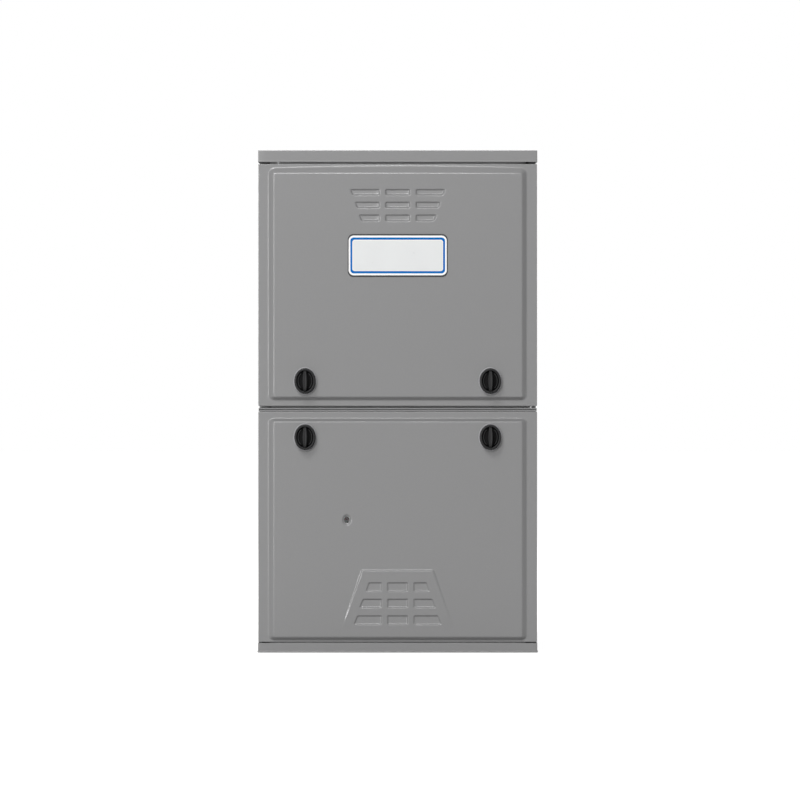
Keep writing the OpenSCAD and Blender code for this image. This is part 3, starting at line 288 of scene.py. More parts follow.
def rim(points, number, profile, fan=6):
    """Carries a profile of (outward, drop) pairs around a grid's outline, as (points, [faces]).

    At each corner it turns through a right angle in fan steps."""
    sides = [number[0], number[:, -1], number[-1, ::-1], number[::-1, 0]]
    turn = np.arange(1, fan) * 90 / fan
    loop, angles = [], []
    for k, side in enumerate(sides):
        loop += [side, np.full(fan - 1, side[-1])]
        angles += [np.full(len(side), 90 * k - 90.0), 90 * k - 90 + turn]
    at = points[np.concatenate(loop), :2]
    angle = np.radians(np.concatenate(angles))
    outward = np.stack([np.cos(angle), np.sin(angle)], axis=-1)
    profile = np.array(profile)
    rings = np.zeros((len(profile), len(at), 3))
    rings[:, :, :2] = at + outward * profile[:, 0, None, None]
    rings[:, :, 2] = profile[:, 1, None]
    faces = quads(np.arange(rings.size // 3).reshape(len(profile), -1), True)[:, ::-1]
    return rings.reshape(-1, 3), [faces]


def joined(*parts):
    """Points and faces of several (points, [faces]) parts as one."""
    points, faces, count = [], [], 0
    for part_points, part_faces in parts:
        points.append(part_points)
        faces += [f + count for f in part_faces]
        count += len(part_points)
    return np.concatenate(points), faces


def bent(corners, radius, arc=6):
    """Path through corners with round bends, as rows of (length, p, q, outward p, outward q).

    Outward lies to the right of the way along the path."""
    corners = np.array(corners, float)
    way = np.diff(corners, axis=0)
    way /= np.linalg.norm(way, axis=1)[:, None]
    rows = [(*corners[0], way[0, 1], -way[0, 0])]
    for a, b, corner in zip(way, way[1:], corners[1:]):
        turn = math.atan2(a[0] * b[1] - a[1] * b[0], a @ b)
        side = math.copysign(radius, turn)
        centre = corner - radius * math.tan(abs(turn) / 2) * a + side * np.array([-a[1], a[0]])
        t = np.linspace(0, turn, arc + 1)
        outward = np.stack([a[1] * np.cos(t) + a[0] * np.sin(t),
                            a[1] * np.sin(t) - a[0] * np.cos(t)], axis=-1)
        rows += np.hstack([centre + side * outward, outward]).tolist()
    rows.append((*corners[-1], way[-1, 1], -way[-1, 0]))
    rows = np.array(rows)
    length = np.concatenate([[0], np.cumsum(np.linalg.norm(np.diff(rows[:, :2], axis=0), axis=1))])
    return np.column_stack([length, rows])


def folded(path, shape, axes=(0, 1, 2)):
    """Lays a flat (points, [faces]) sheet along a bent path: place = path(u) - drop * outward(u).

    v runs along the bends. axes says which of x, y and z are p, q and v."""
    points, faces = shape
    at = np.stack([np.interp(points[:, 0], path[:, 0], path[:, k]) for k in range(1, 5)], axis=-1)
    placed = np.empty((len(points), 3))
    placed[:, axes] = np.column_stack([at[:, :2] - points[:, 2:] * at[:, 2:], points[:, 1]])
    return placed, faces


def along(path, coarse, bands=()):
    """Places along a bent path, with every bend's own rows among them."""
    places = np.concatenate([path[:, 0], steps(path[0, 0], path[-1, 0], coarse, bands)])
    return np.unique(np.round(places, 6))


def facing(shape, origin, a, b, d):
    """Places (points, [faces]) in space: point = origin + u * a + v * b + drop * d."""
    points, faces = shape
    return np.array(origin) + points @ np.array([a, b, d], float), faces


def make_piece(name, shape, body, slot, replaced=(), smooth=40, wall=0.0, finish=None):
    """Makes a piece of a (points, [faces]) shape, joins its seams, and ties it to its body.

    smooth is the angle in degrees up to which edges are shaded smooth, and wall a thickness inwards."""
    points, faces = shape
    seam = 2e-6
    mesh = bpy.data.meshes.new(name)
    mesh.from_pydata(points.tolist(), [], [f for block in faces for f in block.tolist()])
    work = bmesh.new()
    work.from_mesh(mesh)
    bmesh.ops.remove_doubles(work, verts=work.verts, dist=seam)
    bmesh.ops.dissolve_degenerate(work, edges=work.edges, dist=seam / 2)
    work.to_mesh(mesh)
    work.free()
    mesh.shade_smooth()
    mesh.set_sharp_from_angle(angle=math.radians(smooth))
    piece = bpy.data.objects.new(name, mesh)
    bpy.context.scene.collection.objects.link(piece)
    if wall:
        skin = piece.modifiers.new("Wall", "SOLIDIFY")
        skin.thickness = wall
        skin.offset = -1
        skin.use_even_offset = False
    mesh.materials.append(finish_of(finish or slot))
    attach(piece, body)
    if replaced:
        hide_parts(*replaced)
    return piece


def ellipse(a, b, count=96):
    """Outline function of an oval: semi-axes a and b less the inset."""
    angle = np.linspace(0, 2 * np.pi, count, endpoint=False)
    return lambda inset: np.stack([(a - inset) * np.cos(angle), (b - inset) * np.sin(angle)], axis=-1)


def rounded_rect(a, b, corner, arc=12):
    """Outline function of a rectangle of half sizes a and b with round corners, all less the inset."""
    turn = np.radians(np.concatenate([90 * k + np.linspace(0, 90, arc) for k in range(4)]))
    sign = np.repeat([[1, 1], [-1, 1], [-1, -1], [1, -1]], arc, axis=0)
    arcs = np.stack([np.cos(turn), np.sin(turn)], axis=-1)
    return lambda inset: sign * (a - corner, b - corner) + max(corner - inset, 1e-5) * arcs


def stacked(outline, profile, cap=True, base=False):
    """Rings of an outline, one for each (inset, height) pair, as (points, [faces]), with drop = -height.

    cap closes the last ring and base the first with a fan to its middle."""
    rings = np.array([np.column_stack([outline(inset), np.full(len(outline(0)), -height)])
                      for inset, height in profile])
    count = rings.shape[1]
    number = np.arange(rings.size // 3).reshape(len(profile), count)
    points, faces = rings.reshape(-1, 3), [quads(number, True)]
    if cap:
        points = np.vstack([points, [0, 0, -profile[-1][1]]])
        last = number[-1]
        faces.append(np.stack([last, np.roll(last, -1), np.full(count, len(points) - 1)], axis=-1))
    if base:
        points = np.vstack([points, [0, 0, -profile[0][1]]])
        first = number[0]
        faces.append(np.stack([np.roll(first, -1), first, np.full(count, len(points) - 1)], axis=-1))
    return points, faces


def ramp(t, fillet):
    """0 to 1 over t: a parabola over the first fillet share, straight, and a parabola over the last."""
    t = np.clip(t, 0, 1)
    slope = 1 / (1 - fillet)
    foot, head = slope * t * t / (2 * fillet), 1 - slope * (1 - t) ** 2 / (2 * fillet)
    return np.where(t < fillet, foot, np.where(t > 1 - fillet, head, slope * (t - fillet / 2)))


def within(gaps, rounding):
    """Depth inside several edges, in wall widths: the smallest gap, with corners rounded.

    q = rounding - gap; depth = rounding - sqrt(sum of max(q, 0) squared) - min(largest q, 0)."""
    q = rounding - np.stack(gaps)
    return rounding - np.sqrt((np.maximum(q, 0) ** 2).sum(0)) - np.minimum(q.max(0), 0)


def arc_profile(radius, count=5):
    """Quarter roll from a flat face: out = radius * sin, drop = radius * (1 - cos)."""
    a = np.radians(np.linspace(0, 90, count))
    return [(radius * math.sin(k), radius * (1 - math.cos(k))) for k in a]


# ---------- finishes ----------

FINISHES = {}


def finish_of(slot):
    """The material of a slot, made once by its own function."""
    if slot not in FINISHES:
        FINISHES[slot] = FINISH_MAKERS[slot]()
    return FINISHES[slot]


class Shader:
    """A Principled material with object-space patterns."""

    def __init__(self, name, colour, roughness=0.5, metallic=0.0, specular=0.5, coat=0.0, sheen=0.0):
        self.material = bpy.data.materials.new(name)
        self.material.use_nodes = True
        self.nodes = self.material.node_tree.nodes
        self.links = self.material.node_tree.links
        self.surface = self.nodes["Principled BSDF"]
        self.colour = tuple(colour)[:3]
        self.roughness = roughness
        self.set("Base Color", (*self.colour, 1))
        self.set("Roughness", roughness)
        self.set("Metallic", metallic)
        self.set("Specular IOR Level", specular)
        self.set("Coat Weight", coat)
        self.set("Sheen Weight", sheen)
        self.place = self.nodes.new("ShaderNodeTexCoord").outputs["Object"]
        self.bumped = None

    def set(self, socket, value):
        """One value for the whole surface."""
        self.surface.inputs[socket].default_value = value

    def stretched(self, scale):
        """Object coordinates stretched by a Mapping node."""
        node = self.nodes.new("ShaderNodeMapping")
        node.inputs["Scale"].default_value = scale
        self.links.new(self.place, node.inputs["Vector"])
        return node.outputs["Vector"]

    def noise(self, scale, detail=3, rough=0.55, place=None):
        """Cloudy noise, about 0.3 to 0.7."""
        node = self.nodes.new("ShaderNodeTexNoise")
        node.inputs["Scale"].default_value = scale
        node.inputs["Detail"].default_value = detail
        node.inputs["Roughness"].default_value = rough
        self.links.new(place or self.place, node.inputs["Vector"])
        return node.outputs["Fac"]

    def cells(self, scale, feature="F1", output="Distance"):
        """Cells of a Voronoi pattern."""
        node = self.nodes.new("ShaderNodeTexVoronoi")
        node.feature = feature
        node.inputs["Scale"].default_value = scale
        self.links.new(self.place, node.inputs["Vector"])
        return node.outputs[output]

    def between(self, source, low, high, start=0.3, end=0.7):
        """Source, spread from start..end to low..high."""
        node = self.nodes.new("ShaderNodeMapRange")
        for socket, value in (("From Min", start), ("From Max", end), ("To Min", low), ("To Max", high)):
            node.inputs[socket].default_value = value
        self.links.new(source, node.inputs["Value"])
        return node.outputs["Result"]

    def tint(self, source, dark, light):
        """Base colour between two colours."""
        node = self.nodes.new("ShaderNodeMix")
        node.data_type = "RGBA"
        node.inputs["A"].default_value = (*dark, 1)
        node.inputs["B"].default_value = (*light, 1)
        self.links.new(source, node.inputs["Factor"])
        self.links.new(node.outputs["Result"], self.surface.inputs["Base Color"])
        return self

    def vary(self, scale, colour=0.03, roughness=0.05, detail=3):
        """Slow change of colour and gloss over the surface."""
        source = self.noise(scale, detail)
        dark, light = [c * (1 - colour) for c in self.colour], [min(c * (1 + colour), 1) for c in self.colour]
        self.tint(self.between(source, 0, 1), dark, light)
        gloss = self.between(source, self.roughness - roughness, self.roughness + roughness)
        self.links.new(gloss, self.surface.inputs["Roughness"])
        return self

    def bump(self, source, depth, strength=1.0):
        """Relief of source, depth metres high, on top of any earlier one."""
        node = self.nodes.new("ShaderNodeBump")
        node.inputs["Distance"].default_value = depth
        node.inputs["Strength"].default_value = strength
        self.links.new(source, node.inputs["Height"])
        if self.bumped:
            self.links.new(self.bumped, node.inputs["Normal"])
        self.bumped = node.outputs["Normal"]
        self.links.new(self.bumped, self.surface.inputs["Normal"])
        return self


def painted_metal():
    """Satin baked paint with a fine orange peel."""
    s = Shader("painted_metal", bpy.context.scene.furnace_colours.paint, 0.22, specular=0.6)
    grain = s.between(s.noise(420, 4, 0.7), 0, 1)
    s.tint(grain, [c * 0.985 for c in s.colour], [c * 1.015 for c in s.colour])
    return s.bump(s.noise(620, 2), 0.00002, 0.5).material


def zinc_sheet():
    """Galvanised sheet with flakes of spangle."""
    s = Shader("zinc_sheet", (0.52, 0.54, 0.56), 0.38, 0.85)
    flake = s.between(s.cells(110, output="Color"), 0, 1, 0.1, 0.9)
    s.tint(flake, (0.40, 0.42, 0.44), (0.60, 0.62, 0.64))
    s.links.new(s.between(flake, 0.30, 0.50, 0, 1), s.surface.inputs["Roughness"])
    return s.bump(s.noise(900, 2), 0.00001, 0.4).material


def steel_tube():
    """Drawn steel, straw and blue in places from the flame."""
    s = Shader("steel_tube", (0.42, 0.41, 0.40), 0.34, 1.0)
    s.tint(s.between(s.noise(11), 0, 1), (0.30, 0.29, 0.31), (0.47, 0.43, 0.37))
    return s.bump(s.noise(500, 2, place=s.stretched((1, 0.05, 1))), 0.00001, 0.5).material


def bright_aluminium():
    """Bright fin stock."""
    s = Shader("bright_aluminium", (0.74, 0.75, 0.76), 0.28, 1.0)
    s.vary(30, 0.05, 0.06)
    return s.bump(s.noise(300, 2), 0.00002, 0.5).material


def cast_metal():
    """Die-cast body with a grainy skin."""
    s = Shader("cast_metal", (0.46, 0.47, 0.48), 0.52, 0.7)
    s.vary(60, 0.08, 0.05)
    return s.bump(s.noise(900, 4), 0.00006, 0.6).material


def iron_pipe():
    """Black iron with mill scale."""
    s = Shader("iron_pipe", (0.030, 0.030, 0.032), 0.42, 0.3)
    s.tint(s.between(s.noise(45, 5), 0, 1), (0.022, 0.022, 0.024), (0.055, 0.050, 0.046))
    return s.bump(s.noise(350, 4), 0.00008, 0.6).material


def brass():
    """Turned brass."""
    s = Shader("brass", (0.60, 0.44, 0.17), 0.25, 1.0)
    return s.vary(80, 0.08, 0.06).bump(s.noise(700, 2), 0.00001, 0.5).material


def ceramic():
    """Unglazed white ceramic."""
    s = Shader("ceramic", (0.76, 0.74, 0.68), 0.62)
    return s.vary(120, 0.05, 0.05).bump(s.noise(900, 3), 0.00003, 0.5).material


def knob_plastic():
    """Black moulded plastic with a fine grain."""
    s = Shader("knob_plastic", bpy.context.scene.furnace_colours.knob, 0.48, specular=0.2)
    s.vary(90, 0.15, 0.05)
    return s.bump(s.noise(1500, 2), 0.00002, 0.5).material


def knob_dish_shade_plastic():
    """The same black plastic with the dull, spark-eroded texture of the dish, its colour halved as painted
    shade in the dish.
    """
    # Half the knob's colour: painted shade for the dark of the dish
    colour = [c * 0.5 for c in bpy.context.scene.furnace_colours.knob]
    s = Shader("knob_dish_shade_plastic", colour, 0.62, specular=0.06)
    s.vary(90, 0.15, 0.05)
    return s.bump(s.noise(1100, 3), 0.00004, 0.6).material


def bezel_plastic():
    """Grey moulded ring."""
    s = Shader("bezel_plastic", (0.29, 0.29, 0.30), 0.36, specular=0.4)
    return s.vary(60, 0.04, 0.04).bump(s.noise(900, 2), 0.00001, 0.5).material


def name_plate_plastic():
    """Edge of the plate's blank, bare of print, dark as painted shade for the gap around the plate."""
    # Dark colour: painted shade for the gap around the plate
    s = Shader("name_plate_plastic", (0.055, 0.055, 0.058), 0.50, specular=0.1)
    return s.vary(14, 0.012, 0.03).bump(s.noise(300, 2), 0.00001, 0.3).material


def clear_plastic():
    """Thin clear window, a little hazy."""
    s = Shader("clear_plastic", (0.85, 0.88, 0.88), 0.08)
    s.set("Transmission Weight", 1.0)
    s.set("IOR", 1.49)
    return s.vary(200, 0.03, 0.03).material


def black_plastic():
    """Glass-filled moulding with flow marks."""
    s = Shader("black_plastic", (0.022, 0.022, 0.024), 0.45)
    return s.vary(25, 0.2, 0.06).bump(s.noise(700, 3), 0.00004, 0.5).material


def grey_plastic():
    """Dark grey moulding."""
    s = Shader("grey_plastic", (0.095, 0.097, 0.105), 0.42)
    return s.vary(30, 0.1, 0.05).bump(s.noise(800, 3), 0.00003, 0.5).material


def coloured_plastic():
    """Red moulded buttons."""
    s = Shader("coloured_plastic", (0.42, 0.018, 0.014), 0.32)
    return s.vary(90, 0.08, 0.05).bump(s.noise(900, 2), 0.00001, 0.5).material


def white_pipe():
    """Extruded white pipe with faint draw lines."""
    s = Shader("white_pipe", (0.78, 0.78, 0.75), 0.33)
    s.vary(12, 0.02, 0.05)
    return s.bump(s.noise(400, 2, place=s.stretched((1, 1, 0.02))), 0.00002, 0.5).material


def rubber():
    """Matt black rubber with bloom."""
    s = Shader("rubber", (0.020, 0.020, 0.020), 0.72)
    return s.vary(50, 0.35, 0.06).bump(s.noise(600, 3), 0.00004, 0.5).material


def motor_paint():
    """Thick black enamel."""
    s = Shader("motor_paint", (0.028, 0.028, 0.031), 0.30, coat=0.15)
    return s.vary(35, 0.15, 0.05).bump(s.noise(350, 2), 0.00005, 0.5).material


def circuit_board():
    """Green solder mask over tracks."""
    s = Shader("circuit_board", (0.012, 0.120, 0.050), 0.34)
    tracks = s.between(s.cells(170, "DISTANCE_TO_EDGE"), 1, 0, 0.02, 0.05)
    s.tint(tracks, (0.012, 0.105, 0.045), (0.030, 0.190, 0.085))
    return s.bump(tracks, 0.00004, 0.6).material


def foil_mat():
    """Crinkled foil over glass fibre."""
    s = Shader("foil_mat", (0.80, 0.81, 0.82), 0.36, 0.85)
    s.vary(40, 0.04, 0.06)
    s.bump(s.cells(75, "DISTANCE_TO_EDGE"), 0.0004, 0.6)
    return s.bump(s.noise(160, 5), 0.0002, 0.5).material


def filter_card():
    """Pleated media of matted fibres."""
    s = Shader("filter_card", (0.72, 0.71, 0.67), 0.85, sheen=0.2)
    s.vary(150, 0.06, 0.04, 5)
    return s.bump(s.noise(1200, 5), 0.00020, 0.7).material


def filter_frame_card():
    """Pressed card of the filter's frame, with flecks of fibre."""
    s = Shader("filter_frame_card", (0.50, 0.40, 0.27), 0.78)
    s.vary(70, 0.07, 0.04, 4)
    return s.bump(s.noise(900, 3, place=s.stretched((1, 0.2, 1))), 0.00005, 0.6).material


FINISH_MAKERS = {
    make.__name__: make
    for make in (
        painted_metal, zinc_sheet, steel_tube, bright_aluminium, cast_metal, iron_pipe, brass, ceramic,
        knob_plastic, knob_dish_shade_plastic, bezel_plastic, name_plate_plastic, clear_plastic, black_plastic,
        grey_plastic, coloured_plastic, white_pipe, rubber, motor_paint, circuit_board, foil_mat, filter_card,
        filter_frame_card,
    )
}


# ---------- doors ----------

def panel_share(x, v, door, sizes):
    """1 on the raised panel and 0 outside it, with the bevel between, rounded at its outer corners."""
    side = (PANEL_HALF - np.abs(x)) / (PANEL_HALF - INNER_HALF)
    foot = (v - door["outer"][0]) / (door["inner"][0] - door["outer"][0])
    head = (door["outer"][1] - v) / (door["outer"][1] - door["inner"][1])
    return ramp(within([side, foot, head], sizes.bevel_corner), sizes.fillet)


def louvre_drop(x, z, door, sizes):
    """Depth of the pressed louvres: a middle slot and two side slots in each row."""
    wall_top, wall_low, wall_side = door["louvre_walls"]
    deep, shallow = door["louvre_depths"]
    across = np.abs(x)
    drop = np.zeros_like(x)
    for top, bottom, middle, start, end_top, end_bottom in door["louvres"]:
        t = (z - bottom) / (top - bottom)
        end = end_bottom + (end_top - end_bottom) * t
        lean = math.cos(math.atan2(end_top - end_bottom, top - bottom))
        high, low = (top - z) / wall_top, (z - bottom) / wall_low
        centre = within([high, low, (middle - across) / wall_side], sizes.louvre_corner)
        side = within([high, low, (across - start) / wall_side, (end - across) * lean / wall_side],
                      sizes.louvre_corner)
        floor = shallow + (deep - shallow) * np.clip(t, 0, 1)
        drop += floor * (ramp(centre, 0.5) + ramp(side, 0.5))
    return drop


def field_rise(x, z):
    """Raised field around the lower louvres, full at its top edge and level with the panel at its foot.

    At each height its edge is 0.3 mm and 1.7 times its rise there wide, which keeps its slope gentle."""
    t = np.clip((z - FIELD["foot"]) / (FIELD["top"] - FIELD["foot"]), 0, 1)
    half = FIELD["foot_half"] + (FIELD["top_half"] - FIELD["foot_half"]) * t
    edge = 0.0003 + 1.7 * FIELD["rise"] * t
    inside = within([(half - np.abs(x)) / edge, (FIELD["top"] - z) / edge], 0.9)
    return FIELD["rise"] * t * ramp(inside, 0.45)


def sight_drop(x, z):
    """Oval dish around the sight hole."""
    a, b = SIGHT["dimple"]
    radius = np.hypot((x - SIGHT["x"]) / a, (z - SIGHT["z"]) / b)
    return SIGHT["drop"] * ramp((1 - radius) / (1 - SIGHT["hole"][0] / a), 0.45)


def door_bands(name, half, low, high):
    """Bands of a door's grid across and up where something is pressed into it, and the door's holes."""
    door, slack, edge = DOORS[name], 0.0005, 0.0004
    slot_start = min(row[3] for row in door["louvres"])
    slot_ends = [end for row in door["louvres"] for end in row[4:]]
    across = [(PANEL_HALF - 0.012, PANEL_HALF + 0.001, GRID["bevel"]),
              (slot_start - 0.012, slot_start + 0.004, GRID["slot_start"]),
              (min(slot_ends) - 0.003, max(slot_ends) + 0.001, GRID["slot_end"])]
    up = [(door["outer"][0], door["inner"][0] + slack, GRID["bevel"]),
          (door["inner"][1] - slack, door["outer"][1] + slack, GRID["bevel"])]
    up += [(row[1] - slack, row[0] + slack, GRID["row"]) for row in door["louvres"]]
    holes = []
    if name == "lower_door":
        holes.append((SIGHT["x"], SIGHT["z"], *SIGHT["hole"], 0.0135, 12, 0.0012))
        across.append((FIELD["top_half"] - 0.0042, FIELD["foot_half"] + 0.0024, GRID["field_side"]))
        up += [(FIELD["foot"], FIELD["top"], GRID["field"]),
               (FIELD["top"] - 0.005, FIELD["top"] + slack, GRID["field_top"])]
    across += [(-b, -a, step) for a, b, step in across]
    across += hole_bands(holes, 0, GRID["sight"]) + edge_bands(-half, half, edge, GRID["edge"])
    up += hole_bands(holes, 1, GRID["sight"]) + edge_bands(low, high, edge, GRID["edge"])
    return across, up, holes


def pressed_door(name, sizes):
    """A door's front as a height field over x and z, with its rolled edge and return flange around it."""
    door, roll = DOORS[name], sizes.roll
    low, high = door["edge"][0] + roll, door["edge"][1] - roll
    half = DOOR_HALF - roll
    across, up, holes = door_bands(name, half, low, high)
    xs, zs = steps(-half, half, GRID["across"], across), steps(low, high, GRID["up"], up)
    points, faces, number = perforated(xs, zs, holes)
    x, z = points[:, 0], points[:, 1]
    points[:, 2] -= (MARGIN_Y - FACE_Y) * panel_share(x, z, door, sizes)
    points[:, 2] += louvre_drop(x, z, door, sizes)
    if name == "lower_door":
        points[:, 2] += sight_drop(x, z) - field_rise(x, z)
    lift = np.interp(z, [low, door["inner"][1], door["outer"][1], high], [0, 0, 1, 0])
    points[:, 1] += door["arch"] * (1 - (x / PANEL_HALF) ** 2).clip(0) * lift
    bend = 0.0004
    drops = (roll + SUPPORT, 0.008, 0.016, FLANGE_DEPTH - bend)
    flange = arc_profile(roll) + [(roll, drop) for drop in drops] + [(roll - bend, FLANGE_DEPTH)]
    shape = joined((points, faces), rim(points, number, flange), tongue(*door["tongue"]))
    shape = facing(shape, (0, MARGIN_Y, 0), (1, 0, 0), (0, 0, 1), (0, 1, 0))
    make_piece(f"{name}_pressing", shape, name, SLOT_OF[name], (name,), wall=SHEET)


def tongue(low, high, drop):
    """Strip that hooks behind the cap's or the base's edge, as (points, [faces])."""
    inset = 0.020
    us = steps(inset - DOOR_HALF, DOOR_HALF - inset, inset)
    points, faces, _ = perforated(us, np.linspace(low, high, 4))
    points[:, 2] = drop
    return points, faces


def striker():
    """Hat-shaped bracket on the lower door that presses the interlock plunger."""
    root, top = FACE_Y + 2 * SHEET, MARGIN_Y + 0.009
    low_z, foot_z, head_z, high_z = 0.372, 0.382, 0.402, 0.4065
    corners = [(root, low_z), (root, foot_z), (top, foot_z), (top, head_z), (root, head_z), (root, high_z)]
    path = bent(corners, 0.0015)
    points, faces, _ = perforated(along(path, 0.004), steps(0.048, 0.072, 0.004))
    shape = folded(path, (points, faces), (1, 2, 0))
    make_piece("lower_door_striker", shape, "lower_door", "zinc_sheet", wall=SHEET)


# ---------- cap, base and wrapper ----------

def flared_profile(roll, depth, sizes):
    """Cap's skirt as (outward, drop) pairs: a quarter roll, a straight wall, and a flare along a parabola."""
    wall = [(roll, roll + SUPPORT), (roll, depth * 0.4), (roll, depth - sizes.hem - SUPPORT)]
    flare = [(roll + sizes.flare * k * k, depth - sizes.hem * (1 - k)) for k in np.linspace(0, 1, 7)]
    return arc_profile(roll, 6) + wall + flare


def beaded_profile(roll, depth, sizes):
    """Base's skirt as (outward, drop) pairs: a bead, an arc of the hem's height, and a straight wall."""
    half, proud = sizes.hem / 2, sizes.hem_proud
    radius = (half ** 2 + proud ** 2) / (2 * proud)
    lean = math.asin(half / radius)
    bead = [(roll + proud - radius * (1 - math.cos(k)), half + radius * math.sin(k))
            for k in np.linspace(-lean, lean, 9)]
    wall = [(roll, sizes.hem + SUPPORT), (roll, depth / 2), (roll, depth - SUPPORT), (roll, depth)]
    return [(roll - 0.0006, 0.0)] + bead + wall


def skirted_sheet(low, high, roll, holes, opening, profile):
    """Flat grid with its opening and holes left out, and a rolled skirt around it."""
    coarse, fine = 0.03, 0.004
    across = hole_bands(holes, 0, fine) + [(opening[0], opening[1], coarse)]
    up = hole_bands(holes, 1, fine) + [(opening[2], opening[3], coarse)]
    us = steps(low[0] + roll, high[0] - roll, coarse, across)
    vs = steps(low[1] + roll, high[1] - roll, coarse, up)
    points, faces, number = perforated(us, vs, holes, [opening])
    return joined((points, faces), rim(points, number, profile))


def cap_sheet(sizes):
    """Top cap: its plate with the supply opening and the two pipe holes, rolled into a flared skirt."""
    roll, radius, reach, coupling = 0.0010, 0.036, 0.042, 0.034
    holes = []
    for node in ("vent_pipe", "intake_pipe"):
        low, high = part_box(node)
        centre = (high.x + low.x) / 2, (high.y + low.y) / 2
        if node == "vent_pipe":
            # Counted from the corner of its box by the coupling's radius
            centre = high.x - coupling, low.y + coupling
        holes.append((*centre, radius, radius, reach, 3, 0.0006))
    profile = flared_profile(roll, CAP_HIGH.z - CAP_LOW.z, sizes)
    shape = skirted_sheet(CAP_LOW, CAP_HIGH, roll, holes, SUPPLY, profile)
    shape = facing(shape, (0, 0, CAP_HIGH.z), (1, 0, 0), (0, 1, 0), (0, 0, -1))
    make_piece("top_cap_sheet", shape, "cabinet", SLOT_OF["top_cap"], ("top_cap",), wall=SHEET)


def base_sheet(sizes):
    """Base pan: its plate with the return opening, rolled into a beaded skirt, seen from below."""
    roll, depth, radius, reach = 0.0012, 0.0168, 0.0042, 0.008
    low, high = (BASE_LOW.x, -BASE_HIGH.y), (BASE_HIGH.x, -BASE_LOW.y)
    opening = (RETURN[0], RETURN[1], -RETURN[3], -RETURN[2])
    holes = [(x, -y, radius, radius, reach, 2, 0.0008) for x, y in LEGS]
    shape = skirted_sheet(low, high, roll, holes, opening, beaded_profile(roll, depth, sizes))
    shape = facing(shape, (0, 0, 0), (1, 0, 0), (0, -1, 0), (0, 0, 1))
    make_piece("base_pan_sheet", shape, "cabinet", SLOT_OF["base_pan"], ("base_pan",), wall=SHEET)


def groove(inside, width, depth):
    """Round-bottomed groove along the line where inside is nought.

    It is depth * (1 - (inside / width) ** 2), and never less than nought."""
    return depth * np.clip(1 - (inside / width) ** 2, 0, 1)


def oblong(u, v, centre, half, corner):
    """Signed distance to a rectangle with round corners, negative inside it."""
    q = np.abs(np.stack([u - centre[0], v - centre[1]])) - (np.array(half) - corner)[:, None]
    return np.hypot(*np.maximum(q, 0)) + np.minimum(q.max(0), 0) - corner


def wrapper_sheet():
    """Wrapper: one sheet bent along a U in plan, from front lip to front lip, with ports on its left wall.

    Each wall has a pressed outline where a side return may be cut, and pressed rings at its knock-outs."""
    half, front, back = CASE_HIGH.x, CASE_LOW.y, CASE_HIGH.y
    lip = half - 0.0212
    corners = [(lip, front), (half, front), (half, back), (-half, back), (-half, front), (-lip, front)]
    path = bent(corners, 0.0025)
    right_wall = path[:len(path) // 2]

    def right(y):
        """Length along the path to a place on the right wall."""
        return float(np.interp(y, right_wall[:, 2], right_wall[:, 0]))

    def left(y):
        """Length along the path to a place on the left wall."""
        return path[-1, 0] - right(y)

    low_y, high_y, low_z, high_z = SIDE_RETURN
    coarse, near_hole, near_line, near_ring = 0.03, 0.004, 0.0008, 0.0012
    line, ring = 0.004, 0.017
    holes = [(left(y), z, radius, radius, reach, 3, 0.0) for y, z, radius, reach in PORTS]
    across = hole_bands(holes, 0, near_hole)
    for wall in (right, left):
        across += [(wall(y) - line, wall(y) + line, near_line) for y in (low_y, high_y)]
        across += [(wall(y) - ring, wall(y) + ring, near_ring) for y, _ in KNOCKOUTS]
    up = hole_bands(holes, 1, near_hole)
    up += [(z - line, z + line, near_line) for z in (low_z, high_z)]
    up += [(z - ring, z + ring, near_ring) for _, z in KNOCKOUTS]
    us, vs = along(path, coarse, across), steps(CASE_LOW.z, CASE_HIGH.z, coarse, up)
    points, faces, _ = perforated(us, vs, holes)
    u, v = points[:, 0], points[:, 1]
    for wall in (right, left):
        ends = wall(low_y), wall(high_y)
        centre = (ends[0] + ends[1]) / 2, (low_z + high_z) / 2
        size = abs(ends[1] - ends[0]) / 2, (high_z - low_z) / 2
        points[:, 2] += groove(oblong(u, v, centre, size, 0.012), 0.0022, 0.0009)
        for y, z in KNOCKOUTS:
            radius = np.hypot(u - wall(y), v - z)
            points[:, 2] += sum(groove(radius - pressed, 0.0016, 0.0006) for pressed in KNOCKOUT_RINGS)
    make_piece("casing_wrapper_sheet", folded(path, (points, faces)), "cabinet", SLOT_OF["casing_wrapper"],
               ("casing_wrapper",), wall=SHEET)


def filter_rails():
    """Two channels on the base that carry the air filter, bent along an upturned U."""
    top, near, far = 0.022, 0.198, 0.226
    for side, (inner, outer) in (("left", (-far, -near)), ("right", (near, far))):
        path = bent([(SHEET, inner), (top, inner), (top, outer), (SHEET, outer)], 0.002)
        places = steps(RETURN[2] - 0.020, RETURN[3] + 0.030, 0.03)
        points, faces, _ = perforated(along(path, 0.01), places)
        shape = folded(path, (points, faces), (2, 0, 1))
        make_piece(f"filter_rail_{side}", shape, "cabinet", SLOT_OF["base_pan"], wall=SHEET)


# ---------- soft goods ----------

